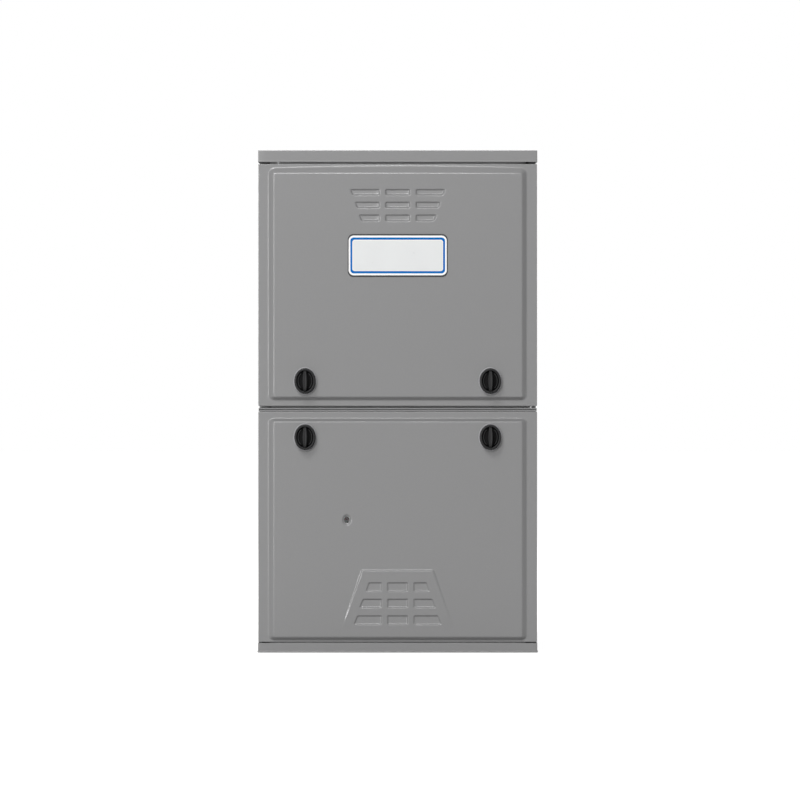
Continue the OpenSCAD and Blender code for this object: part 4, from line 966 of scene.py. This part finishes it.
def quilted(us, vs, thick, pins, holes=(), openings=()):
    """Foil mat as (points, [faces]): a puffed front and a flat back that meet along every edge.

    height = 0.93 * thick * sqrt(1 - t * t) * (1 - 0.45 * dent) + ripple, where t runs from 1 at an edge to 0
    at puff inside it, and dent is the sum of exp(-(r / pin_reach) ** 2) with r the distance to a pin, held
    to 1. The ripple is a sum of sines that dies out towards the edges."""
    puff, pin_reach, ripple_height = 0.014, 0.015, 0.00022
    front, faces, _ = perforated(us, vs, holes, openings)
    u, v = front[:, 0], front[:, 1]
    gaps = [u - us[0], us[-1] - u, v - vs[0], vs[-1] - v]
    gaps += [(np.hypot((u - h[0]) / h[2], (v - h[1]) / h[3]) - 1) * h[2] for h in holes]
    gaps += [np.maximum(np.abs(u - (o[0] + o[1]) / 2) - (o[1] - o[0]) / 2,
                        np.abs(v - (o[2] + o[3]) / 2) - (o[3] - o[2]) / 2) for o in openings]
    t = 1 - np.clip(np.min(gaps, axis=0) / puff, 0, 1)
    dent = sum(np.exp(-((u - a) ** 2 + (v - b) ** 2) / pin_reach ** 2) for a, b in pins)
    ripple = np.sin(61 * u + 23 * v) + np.sin(97 * v - 31 * u + 1.3) + np.sin(143 * u + 119 * v + 0.7)
    height = 0.93 * thick * np.sqrt(1 - t ** 2) * (1 - 0.45 * dent.clip(0, 1))
    front[:, 2] = -(height + ripple_height * ripple * (1 - t))
    back = front * (1, 1, 0)
    return joined((front, faces), (back, [f[:, ::-1] for f in faces]))


def washers(pins, height):
    """Domed washers that hold a mat at its pins."""
    profile = [(0.0, 0.0), (0.0, 0.0006), (0.0006, 0.0010), (0.0050, 0.0013), (0.0062, 0.0009),
               (0.0078, 0.0009), (0.0085, 0.0020), (0.0100, 0.0022)]
    points, faces = stacked(ellipse(0.0120, 0.0120, 32), profile, base=True)
    return joined(*[(points + (a, b, -height), faces) for a, b in pins])


def make_mat(name, shape, pins, place, body, replaced=()):
    """A quilted mat and its washers, put in place by a function of (points, [faces])."""
    mat = make_piece(name, place(shape), body, "foil_mat", replaced, smooth=60)
    make_piece(f"{name}_washers", place(washers(pins, MAT_THICK / 2)), body, "zinc_sheet", smooth=50)


def door_mats():
    """Mats inside the raised panels of the doors, with holes for the latches and the sight glass."""
    pin_rows = {"upper_door": (0.25, 0.62, 0.90), "lower_door": (0.12, 0.40, 0.74)}
    for body, rows in pin_rows.items():
        node = f"{body}_liner"
        low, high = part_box(node)
        x, z = knob_centre(f"knob_{body.removesuffix('_door')}_right")
        holes = [(side * x, z, 0.016, 0.016, 0.018, 2, 0.0) for side in (-1, 1)]
        openings = []
        if body == "lower_door":
            holes.append((-SIGHT["x"], SIGHT["z"], 0.016, 0.018, 0.024, 3, 0.0))
            openings.append((-0.076, -0.044, 0.378, high.z))
        pins = [(a, low.z + b * (high.z - low.z)) for a in (-0.145, 0.0, 0.145) for b in rows]
        across, up = edge_bands(-high.x, high.x, MAT_EDGE, 0.002), edge_bands(low.z, high.z, MAT_EDGE, 0.002)
        across += [(o[0] - MAT_EDGE, o[1] + MAT_EDGE, 0.002) for o in openings]
        up += [(o[2] - MAT_EDGE, o[3], 0.002) for o in openings]
        across += hole_bands(holes, 0, 0.003) + hole_bands(holes, 0, 0.004, 0.030)
        up += hole_bands(holes, 1, 0.003) + hole_bands(holes, 1, 0.004, 0.030)
        us, vs = steps(-high.x, high.x, 0.007, across), steps(low.z, high.z, 0.007, up)
        place = partial(facing, origin=(0, low.y, 0), a=(-1, 0, 0), b=(0, 0, 1), d=(0, -1, 0))
        make_mat(f"{node}_mat", quilted(us, vs, MAT_THICK, pins, holes, openings), pins, place, body, (node,))


def casing_mats():
    """Mats on the inside of the wrapper, bent round its back corners: one in each compartment."""
    low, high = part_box("casing_liner")
    for name, front, foot, head, replaced in (("upper", low.y, LINER_JOINT[1], high.z, ("casing_liner",)),
                                              ("lower", -0.060, low.z, LINER_JOINT[0], ())):
        path = bent([(low.x, front), (low.x, high.y), (high.x, high.y), (high.x, front)], 0.014, 8)
        total = path[-1, 0]
        us = along(path, 0.010, edge_bands(0, total, MAT_EDGE, 0.002))
        vs = steps(foot, head, 0.010, edge_bands(foot, head, MAT_EDGE, 0.002))
        pins = [(total * a, foot + (head - foot) * b)
                for a in (0.10, 0.25, 0.43, 0.57, 0.75, 0.90) for b in (0.2, 0.5, 0.8)]
        make_mat(f"casing_liner_{name}", quilted(us, vs, MAT_THICK, pins), pins, partial(folded, path),
                 "cabinet", replaced)


def air_filter():
    """Filter: a card frame with three stays under pleated media, whose folds are a rounded triangle wave."""
    low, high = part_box("air_filter")
    centre, rise = (low.y + high.y) / 2, high.z - low.z
    half_w, half_d = high.x, (high.y - low.y) / 2
    card, ease, pleats, fold_height, media_thick = 0.014, 0.0008, 26, 0.0085, 0.0012
    place = partial(facing, origin=(0, centre, low.z), a=(1, 0, 0), b=(0, 1, 0), d=(0, 0, -1))
    loop = [(ease, 0.0), (0.0, ease), (0.0, rise - ease), (ease, rise), (card - ease, rise),
            (card, rise - ease), (card, ease), (card - ease, 0.0), (ease, 0.0)]
    shapes = [stacked(rounded_rect(half_w, half_d, 0.004), loop, cap=False)]
    for x in (-0.140, 0.0, 0.140):
        stay = stacked(rounded_rect(0.002, half_d - card + 0.001, 0.0008, 5),
                       [(0.0004, 0.0), (0.0, 0.0004), (0.0, 0.0028), (0.0004, 0.0032)], base=True)
        shapes.append((stay[0] + (x, 0, 0), stay[1]))
    make_piece("air_filter_frame", place(joined(*shapes)), "cabinet", SLOT_OF["air_filter"], ("air_filter",),
               finish="filter_frame_card")
    reach = half_d - card
    us, vs = np.linspace(card - half_w, half_w - card, 30), np.linspace(-reach, reach, pleats * 12 + 1)
    points, faces, _ = perforated(us, vs)
    turn = 2 * math.pi * pleats * (points[:, 1] + reach) / (2 * reach)
    fold = 2 / math.pi * np.arcsin(0.985 * np.cos(turn))
    points[:, 2] = -(rise / 2 - 0.0005) + fold_height * fold
    make_piece("air_filter_media", place((points, faces)), "cabinet", SLOT_OF["air_filter"],
               smooth=75, wall=media_thick)


# ---------- control board ----------

def lump(centre, half_w, half_h, low, high, corner, ease=0.0006):
    """Moulded block with round corners and eased edges, between two heights over the board."""
    profile = [(0.0, low), (0.0, high - ease), (ease * 0.3, high - ease * 0.3), (ease, high),
               (2 * ease, high)]
    points, faces = stacked(rounded_rect(half_w, half_h, corner, 6), profile, base=True)
    return points + (centre[0], centre[1], 0), faces


def control_board():
    """Circuit board on four posts, with relays, a terminal strip, a connector, capacitors and a lamp."""
    low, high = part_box("control_board")
    face, board = low.y + 0.022, 0.0016
    middle = (low.x + high.x) / 2, (low.z + high.z) / 2
    half = (high.x - low.x) / 2, (high.z - low.z) / 2
    post_x, post_z = (-0.218, -0.077), (0.172, 0.318)
    relays = [(-0.190, 0.300), (-0.160, 0.300), (-0.130, 0.300), (-0.190, 0.262)]
    chips = [(-0.120, 0.232), (-0.098, 0.205)]
    can_x, can_z = (-0.180, -0.160), 0.222
    strip_x, strip_z = np.linspace(-0.2102, -0.1348, 9), 0.178
    plug_x, plug_z = -0.217, 0.225
    plate = [lump(middle, *half, -board, 0.0, 0.0030, 0.0002)]
    posts = [lump((x, z), 0.0030, 0.0030, face - high.y, -board, 0.0029, 0.0002)
             for x in post_x for z in post_z]
    cases = [lump(at, 0.0090, 0.0110, 0.0, 0.0155, 0.0012) for at in relays]
    cases += [lump(at, 0.0078, 0.0098, 0.0150, 0.0160, 0.0012, 0.0003) for at in relays]
    cases += [lump(at, 0.0050, 0.0075, 0.0, 0.0026, 0.0004, 0.0003) for at in chips]
    terminals = [lump((x, strip_z), 0.0045, 0.0060, 0.0, 0.0120, 0.0006) for x in strip_x]
    terminals.append(lump((-0.1725, strip_z), 0.0425, 0.0050, 0.0, 0.0085, 0.0006))
    terminals.append(lump((plug_x, plug_z), 0.0050, 0.0250, 0.0, 0.0100, 0.0008))
    screws = [lump((x, strip_z + 0.0005), 0.0028, 0.0028, 0.0115, 0.0126, 0.0027, 0.0004) for x in strip_x]
    screws += [lump((plug_x, z), 0.0011, 0.0011, 0.0095, 0.0125, 0.0002, 0.0002)
               for z in np.linspace(plug_z - 0.021, plug_z + 0.021, 9)]
    cans = [lump((x, can_z), 0.0080, 0.0080, 0.0, 0.0216, 0.0079, 0.0014) for x in can_x]
    bulb = [lump((SIGHT["x"], SIGHT["z"]), 0.0025, 0.0025, 0.0, 0.0085, 0.0024, 0.0020)]
    parts = (
        ("plate", plate, "circuit_board"), ("posts", posts, "white_pipe"), ("relays", cases, "black_plastic"),
        ("terminals", terminals, "white_pipe"), ("screws", screws, "brass"),
        ("capacitors", cans, "bright_aluminium"), ("lamp", bulb, "coloured_plastic"),
    )
    for name, shapes, finish in parts:
        shape = facing(joined(*shapes), (0, face, 0), (1, 0, 0), (0, 0, 1), (0, 1, 0))
        make_piece(f"control_board_{name}", shape, "cabinet", SLOT_OF["control_board"],
                   ("control_board",) if name == "plate" else (), finish=finish)


# ---------- controls on the doors ----------

def on_face(shape, centre, height=0.0):
    """Turns (points, [faces]) of stacked rings to face the front, at (x, z) on the door's panel."""
    return facing(shape, (centre[0], FACE_Y - height, centre[1]), (1, 0, 0), (0, 0, 1), (0, 1, 0))


def knob_body(half_w, half_h):
    """Dished oval knob: skirt, flat rim, inner wall, floor with a raised arc on each side of the grip.

    The profile is in millimetres. The arcs fall to the floor over arc_end at their upper and lower ends."""
    profile = [(0.0, 1.2), (0.1, 1.2), (0.3, 5.0), (0.7, 9.5), (1.0, 12.8), (1.2, 13.6), (1.7, 14.0),
               (2.6, 14.05), (3.7, 14.0), (4.1, 13.6), (4.3, 12.8), (4.5, 10.0), (4.7, 8.3), (5.0, 7.8),
               (5.5, 7.8), (5.7, 8.6), (5.9, 10.0), (6.3, 10.5), (7.4, 10.5), (7.8, 10.0), (8.0, 8.6),
               (8.3, 7.8), (10.0, 7.8), (14.0, 7.8)]
    points, faces = stacked(ellipse(half_w, half_h), np.array(profile) / 1000, base=True)
    arc_inset, arc_half, arc_end = 0.0054, 0.013, 0.003
    reach = np.hypot(points[:, 0] / (half_w - arc_inset), points[:, 1] / (half_h - arc_inset))
    arc = (points[:, 2] < -KNOB_FLOOR - 0.0001) & (reach < 1)
    sunk = np.clip((np.abs(points[:, 1]) - arc_half) / arc_end, 0, 1)
    points[arc, 2] += ((-points[:, 2] - KNOB_FLOOR) * sunk)[arc]
    return points, faces


def knob_grip():
    """Upright grip bar over z and a cross-section: widest in the middle, with a groove along its crest.

    The cross-section is in half widths across and millimetres up."""
    root, reach = 0.0074, 0.0186
    section = np.array([(-1.0, 7.4), (-0.99, 10), (-0.98, 16), (-0.96, 20.4), (-0.89, 21.4), (-0.74, 21.9),
                        (-0.50, 22.0), (-0.24, 21.5), (0, 21.3), (0.24, 21.5), (0.50, 22.0), (0.74, 21.9),
                        (0.89, 21.4), (0.96, 20.4), (0.98, 16), (0.99, 10), (1.0, 7.4)])
    place = np.sin(np.radians(np.linspace(-90, 90, 41))) * reach
    half = np.interp(np.abs(place), [0, 0.006, reach], [0.0042, 0.0040, 0.0023])
    end = np.sqrt(np.clip(1 - (np.abs(place) / reach) ** 14, 0, 1))
    x = half[:, None] * section[:, 0] * (0.25 + 0.75 * end[:, None])
    height = root + (section[:, 1] / 1000 - root) * end[:, None]
    points = np.stack([x, np.broadcast_to(place[:, None], x.shape), -height], axis=-1).reshape(-1, 3)
    return points, [quads(np.arange(len(points)).reshape(len(place), -1))]


def knobs():
    """Four quarter-turn knobs, each with a dull dish in a darker plastic that is painted shade."""
    for node in KNOBS:
        low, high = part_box(node)
        half_w, half_h = (high.x - low.x) / 2, (high.z - low.z) / 2
        x, z = knob_centre(node)
        shape = on_face(joined(knob_body(half_w, half_h), knob_grip()), (x, z))
        knob = make_piece(f"{node}_moulding", shape, BODY_OF[node], SLOT_OF[node], (node,), smooth=50)
        # The dish's faces take a darker plastic: painted shade in the dish
        knob.data.materials.append(finish_of("knob_dish_shade_plastic"))
        middle = np.zeros(3 * len(knob.data.polygons))
        knob.data.polygons.foreach_get("center", middle)
        middle = middle.reshape(-1, 3)
        reach = np.hypot((middle[:, 0] - x) / half_w, (middle[:, 2] - z) / half_h)
        shaded_dish = (middle[:, 1] > FACE_Y - KNOB_FLOOR - 0.002) & (reach < 0.85)
        knob.data.polygons.foreach_set("material_index", shaded_dish.astype(np.int32))


def bezels():
    """Collars around the knobs, with a round outer edge, and the bushes behind them."""
    margin, bush_radius = 0.0015, 0.009
    collar = [(-0.0003, -0.0002), (-0.0003, 0.0003), (0.0, 0.0008), (0.0006, 0.0011), (0.0013, 0.0010),
              (0.0018, 0.0006), (0.0020, 0.0002), (0.0060, 0.0002), (0.0100, 0.0004), (0.0120, 0.0009)]
    bush = [(0.0029, 0.0), (0.0029, -0.0115), (0.0024, -0.0120), (0.0006, -0.0120), (0.0, -0.0115),
            (0.0, 0.0)]
    for node, pair in (("upper_bezels", KNOBS[:2]), ("lower_bezels", KNOBS[2:])):
        shapes = []
        for knob in pair:
            low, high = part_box(knob)
            outline = ellipse((high.x - low.x) / 2 + margin, (high.z - low.z) / 2 + margin)
            shapes.append(on_face(stacked(outline, collar, cap=False), knob_centre(knob)))
            outline = ellipse(bush_radius, bush_radius, 48)
            shapes.append(on_face(stacked(outline, bush, cap=False), knob_centre(knob)))
        make_piece(f"{node}_mouldings", joined(*shapes), BODY_OF[node], SLOT_OF[node], (node,))


def name_plate(colours):
    """Bare plate: a soft dark edge, which is painted shade for the gap around it, and four printed layers,
    each inside the last.
    """
    half_w, half_h = (PLATE_HIGH.x - PLATE_LOW.x) / 2, (PLATE_HIGH.z - PLATE_LOW.z) / 2
    centre = 0.0, (PLATE_HIGH.z + PLATE_LOW.z) / 2
    thick = 0.0012
    body = [(0.0, 0.0), (0.0, 0.0006), (0.0002, 0.0010), (0.0006, thick), (0.0012, thick), (0.0018, thick)]
    # The blank's dark edge is painted shade for the gap around the plate
    shape = on_face(stacked(rounded_rect(half_w, half_h, 0.0100), body, base=True), centre)
    make_piece("name_plate_blank", shape, "upper_door", SLOT_OF["name_plate"], ("name_plate",))
    # Name, insets from the plate's sides and from its top and foot, corner radius, colour and specular level
    layers = (
        ("name_plate_border", 0.0016, 0.0028, 0.0090, (0.87, 0.87, 0.86), 0.5),
        ("name_plate_ring", 0.0045, 0.0062, 0.0060, tuple(colours.ring), 0.1),
        ("name_plate_line", 0.0080, 0.0102, 0.0045, (0.80, 0.76, 0.70), 0.3),
        ("name_plate_field", 0.0097, 0.0118, 0.0035, tuple(colours.field), 0.3),
    )
    for step, (name, in_x, in_z, corner, colour, specular) in enumerate(layers, 1):
        shader = Shader(name, colour, 0.30, specular=specular)
        shader.vary(20, 0.01, 0.03).bump(shader.noise(400, 2), 0.00001, 0.3)
        top = thick + step * PRINT
        profile = [(0.0, top - 3 * PRINT), (0.0, top - PRINT / 3), (PRINT / 2, top), (4 * PRINT, top),
                   (8 * PRINT, top)]
        outline = rounded_rect(half_w - in_x, half_h - in_z, corner)
        shape = on_face(stacked(outline, profile, base=True), centre)
        layer = make_piece(name, shape, "upper_door", SLOT_OF["name_plate"])
        layer.data.materials[0] = shader.material


def sight_window():
    """Domed oval window behind the sight hole."""
    low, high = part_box("sight_glass")
    outline = ellipse((high.x - low.x) / 2, (high.z - low.z) / 2, 48)
    dome = [(0.0, 0.0), (0.0, 0.0012), (0.0003, 0.0016), (0.0030, 0.0020), (0.0060, 0.0024), (0.0085, 0.0026)]
    centre = (low.x + high.x) / 2, (low.z + high.z) / 2
    shape = on_face(stacked(outline, dome, base=True), centre, FACE_Y - high.y)
    make_piece("sight_glass_window", shape, "lower_door", SLOT_OF["sight_glass"], ("sight_glass",))


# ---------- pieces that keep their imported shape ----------

def softened(node, width=0.0004):
    """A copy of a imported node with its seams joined, flat faces merged and edges eased."""
    source = frame["nodes"][node]
    mesh = source.data.copy()
    mesh.name = f"{node}_eased"
    work = bmesh.new()
    work.from_mesh(mesh)
    bmesh.ops.remove_doubles(work, verts=work.verts, dist=1e-6)
    bmesh.ops.dissolve_limit(work, angle_limit=math.radians(0.5), verts=work.verts, edges=work.edges)
    work.to_mesh(mesh)
    work.free()
    mesh.materials.clear()
    mesh.materials.append(finish_of(SLOT_OF[node]))
    mesh.polygons.foreach_set("material_index", np.zeros(len(mesh.polygons), np.int32))
    mesh.shade_smooth()
    piece = bpy.data.objects.new(f"{node}_eased", mesh)
    bpy.context.scene.collection.objects.link(piece)
    edge = piece.modifiers.new("Eased edges", "BEVEL")
    edge.width = width
    edge.segments = 2
    edge.limit_method = "ANGLE"
    edge.angle_limit = math.radians(38)
    normals = piece.modifiers.new("Normals", "WEIGHTED_NORMAL")
    normals.keep_sharp = True
    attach(piece, BODY_OF[node])
    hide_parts(node)
    return piece


# ---------- studio ----------

def lamp(name, size, place, target, throw):
    """A square softbox that throws about `throw` of white light on a plain surface at the target."""
    data = bpy.data.lights.new(name, "AREA")
    data.shape = "RECTANGLE"
    data.size, data.size_y = size
    away = Vector(target) - Vector(place)
    data.energy = throw * math.pi * away.length ** 2 * math.pi
    light = bpy.data.objects.new(name, data)
    light.location = place
    light.rotation_euler = away.to_track_quat("-Z", "Y").to_euler()
    bpy.context.scene.collection.objects.link(light)
    return light


def around(distance, azimuth, elevation, target):
    """Place at a distance from the target: azimuth 0 is in front, and grows towards the left."""
    a, e = math.radians(azimuth), math.radians(elevation)
    away = Vector((-math.sin(a) * math.cos(e), -math.cos(a) * math.cos(e), math.sin(e)))
    return Vector(target) + distance * away


def white_world(fill):
    """White to the camera and to reflections, and a soft grey light to everything else."""
    world = bpy.data.worlds.new("studio")
    bpy.context.scene.world = world
    world.use_nodes = True
    nodes, links = world.node_tree.nodes, world.node_tree.links
    seen = nodes.new("ShaderNodeBackground")
    seen.inputs["Strength"].default_value = 1.0
    seen.inputs["Color"].default_value = (1, 1, 1, 1)
    light = nodes["Background"]
    light.inputs["Color"].default_value = (1, 1, 1, 1)
    light.inputs["Strength"].default_value = fill
    mix = nodes.new("ShaderNodeMixShader")
    links.new(white_ray(nodes, links), mix.inputs["Fac"])
    links.new(light.outputs[0], mix.inputs[1])
    links.new(seen.outputs[0], mix.inputs[2])
    links.new(mix.outputs[0], nodes["World Output"].inputs["Surface"])


def white_ray(nodes, links):
    """1 for camera, glossy and transmission rays."""
    path = nodes.new("ShaderNodeLightPath")
    last = path.outputs["Is Camera Ray"]
    for name in ("Is Glossy Ray", "Is Transmission Ray"):
        node = nodes.new("ShaderNodeMath")
        node.operation = "MAXIMUM"
        links.new(last, node.inputs[0])
        links.new(path.outputs[name], node.inputs[1])
        last = node.outputs[0]
    return last


def pale_floor():
    """A pale floor that the camera sees as white, with the object's soft shadow on it."""
    size = 30.0
    mesh = bpy.data.meshes.new("floor")
    points, faces, _ = perforated(np.linspace(-size, size, 5), np.linspace(-size, size, 5))
    mesh.from_pydata(points.tolist(), [], faces[0].tolist())
    floor = bpy.data.objects.new("floor", mesh)
    floor.location.z = -0.0002
    bpy.context.scene.collection.objects.link(floor)
    material = bpy.data.materials.new("pale_floor")
    material.use_nodes = True
    nodes, links = material.node_tree.nodes, material.node_tree.links
    surface = nodes["Principled BSDF"]
    surface.inputs["Base Color"].default_value = (0.35, 0.35, 0.35, 1)
    surface.inputs["Roughness"].default_value = 0.9
    surface.inputs["Specular IOR Level"].default_value = 0.0
    surface.inputs["Emission Color"].default_value = (1, 1, 1, 1)
    place = nodes.new("ShaderNodeTexCoord").outputs["Object"]
    far = nodes.new("ShaderNodeVectorMath")
    far.operation = "LENGTH"
    links.new(place, far.inputs[0])
    spread = nodes.new("ShaderNodeMapRange")
    for socket, value in (("From Min", 0.8), ("From Max", 2.6), ("To Min", 0.80), ("To Max", 1.0)):
        spread.inputs[socket].default_value = value
    links.new(far.outputs["Value"], spread.inputs["Value"])
    glow = nodes.new("ShaderNodeMath")
    glow.operation = "MULTIPLY"
    links.new(spread.outputs["Result"], glow.inputs[1])
    links.new(white_ray(nodes, links), glow.inputs[0])
    links.new(glow.outputs[0], surface.inputs["Emission Strength"])
    mesh.materials.append(material)


def studio(settings):
    """Camera at the photograph's angle, a key softbox, lamps for the other sides, and the floor."""
    scene = bpy.context.scene
    scene.view_settings.view_transform = "Standard"
    middle = ((CAD_BOX[0][0] + CAD_BOX[1][0]) / 2, 0.0, (CAD_BOX[0][2] + CAD_BOX[1][2]) / 2)
    front = (0.0, FACE_Y, middle[2])
    data = bpy.data.cameras.new("camera")
    data.lens = settings.lens
    data.sensor_width = 36
    data.clip_end = 100
    camera = bpy.data.objects.new("camera", data)
    camera.location = (settings.camera_x, MARGIN_Y - settings.distance, settings.camera_z)
    camera.rotation_euler = (math.radians(90), 0, 0)
    scene.collection.objects.link(camera)
    scene.camera = camera
    lamp("key", (2.2, 2.2), around(6.5, 22, 43, front), front, settings.key)
    lamp("side_strip", (0.7, 1.7), around(6.0, 24, 3, front), front, settings.side)
    lamp("top_strip", (2.0, 0.8), around(7.0, 3, 23, front), front, settings.top)
    lamp("corner_lamp", (1.0, 1.0), around(7.0, 17, 16, front), front, settings.corner)
    lamp("rear_left", (2.0, 2.4), around(4.5, 118, 18, middle), middle, 0.62)
    lamp("rear_right", (2.0, 2.4), around(4.5, -118, 18, middle), middle, 0.62)
    lamp("rear_top", (2.4, 2.0), around(4.2, 178, 62, middle), middle, 0.60)
    white_world(settings.fill)
    pale_floor()


# ---------- operators ----------

class FURNACE_OT_studio(Operator):
    """Adds the camera, the lamps and the floor."""
    bl_idname = "furnace.studio"
    bl_label = "Studio"

    def execute(self, context):
        studio(context.scene.furnace_studio)
        return {"FINISHED"}


class FURNACE_OT_doors(Operator):
    """Presses both doors."""
    bl_idname = "furnace.doors"
    bl_label = "Doors"

    def execute(self, context):
        for name in DOORS:
            pressed_door(name, context.scene.furnace_sizes)
        striker()
        return {"FINISHED"}


class FURNACE_OT_cabinet(Operator):
    """Folds the cap, the base and the wrapper."""
    bl_idname = "furnace.cabinet"
    bl_label = "Cabinet"

    def execute(self, context):
        cap_sheet(context.scene.furnace_sizes)
        base_sheet(context.scene.furnace_sizes)
        wrapper_sheet()
        filter_rails()
        return {"FINISHED"}


class FURNACE_OT_soft_goods(Operator):
    """Lays the foil mats and the air filter."""
    bl_idname = "furnace.soft_goods"
    bl_label = "Soft goods"

    def execute(self, context):
        door_mats()
        casing_mats()
        air_filter()
        return {"FINISHED"}


class FURNACE_OT_controls(Operator):
    """Adds the knobs, their collars, the plate and the sight window."""
    bl_idname = "furnace.controls"
    bl_label = "Controls"

    def execute(self, context):
        knobs()
        bezels()
        name_plate(context.scene.furnace_colours)
        sight_window()
        return {"FINISHED"}


class FURNACE_OT_works(Operator):
    """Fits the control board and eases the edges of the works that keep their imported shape."""
    bl_idname = "furnace.works"
    bl_label = "Works"

    def execute(self, context):
        control_board()
        for node, source in frame["nodes"].items():
            if not source.hide_render:
                softened(node)
        return {"FINISHED"}


class FURNACE_PT_panel(Panel):
    """Lists the furnace's settings and steps."""
    bl_idname = "FURNACE_PT_panel"
    bl_label = "Furnace"
    bl_space_type = "VIEW_3D"
    bl_region_type = "UI"
    bl_category = "Furnace"

    def draw(self, context):
        scene = context.scene
        for group in (scene.furnace_sizes, scene.furnace_colours, scene.furnace_studio):
            box = self.layout.box()
            for name in group.bl_rna.properties.keys():
                if name not in ("rna_type", "name"):
                    box.prop(group, name)
        for operator in OPERATORS:
            self.layout.operator(operator.bl_idname)


OPERATORS = (FURNACE_OT_studio, FURNACE_OT_doors, FURNACE_OT_cabinet, FURNACE_OT_soft_goods,
             FURNACE_OT_controls, FURNACE_OT_works)
GROUPS = (FurnaceSizes, FurnaceColours, StudioSizes)
CLASSES = (*GROUPS, *OPERATORS, FURNACE_PT_panel)


def register():
    for cls in CLASSES:
        bpy.utils.register_class(cls)
    bpy.types.Scene.furnace_sizes = PointerProperty(type=FurnaceSizes)
    bpy.types.Scene.furnace_colours = PointerProperty(type=FurnaceColours)
    bpy.types.Scene.furnace_studio = PointerProperty(type=StudioSizes)


def unregister():
    del bpy.types.Scene.furnace_studio
    del bpy.types.Scene.furnace_colours
    del bpy.types.Scene.furnace_sizes
    for cls in reversed(CLASSES):
        bpy.utils.unregister_class(cls)


def main():
    register()
    for step in (bpy.ops.furnace.studio, bpy.ops.furnace.doors, bpy.ops.furnace.cabinet,
                 bpy.ops.furnace.soft_goods, bpy.ops.furnace.controls, bpy.ops.furnace.works):
        step()
    bpy.context.view_layer.update()


if __name__ == "__main__":
    main()
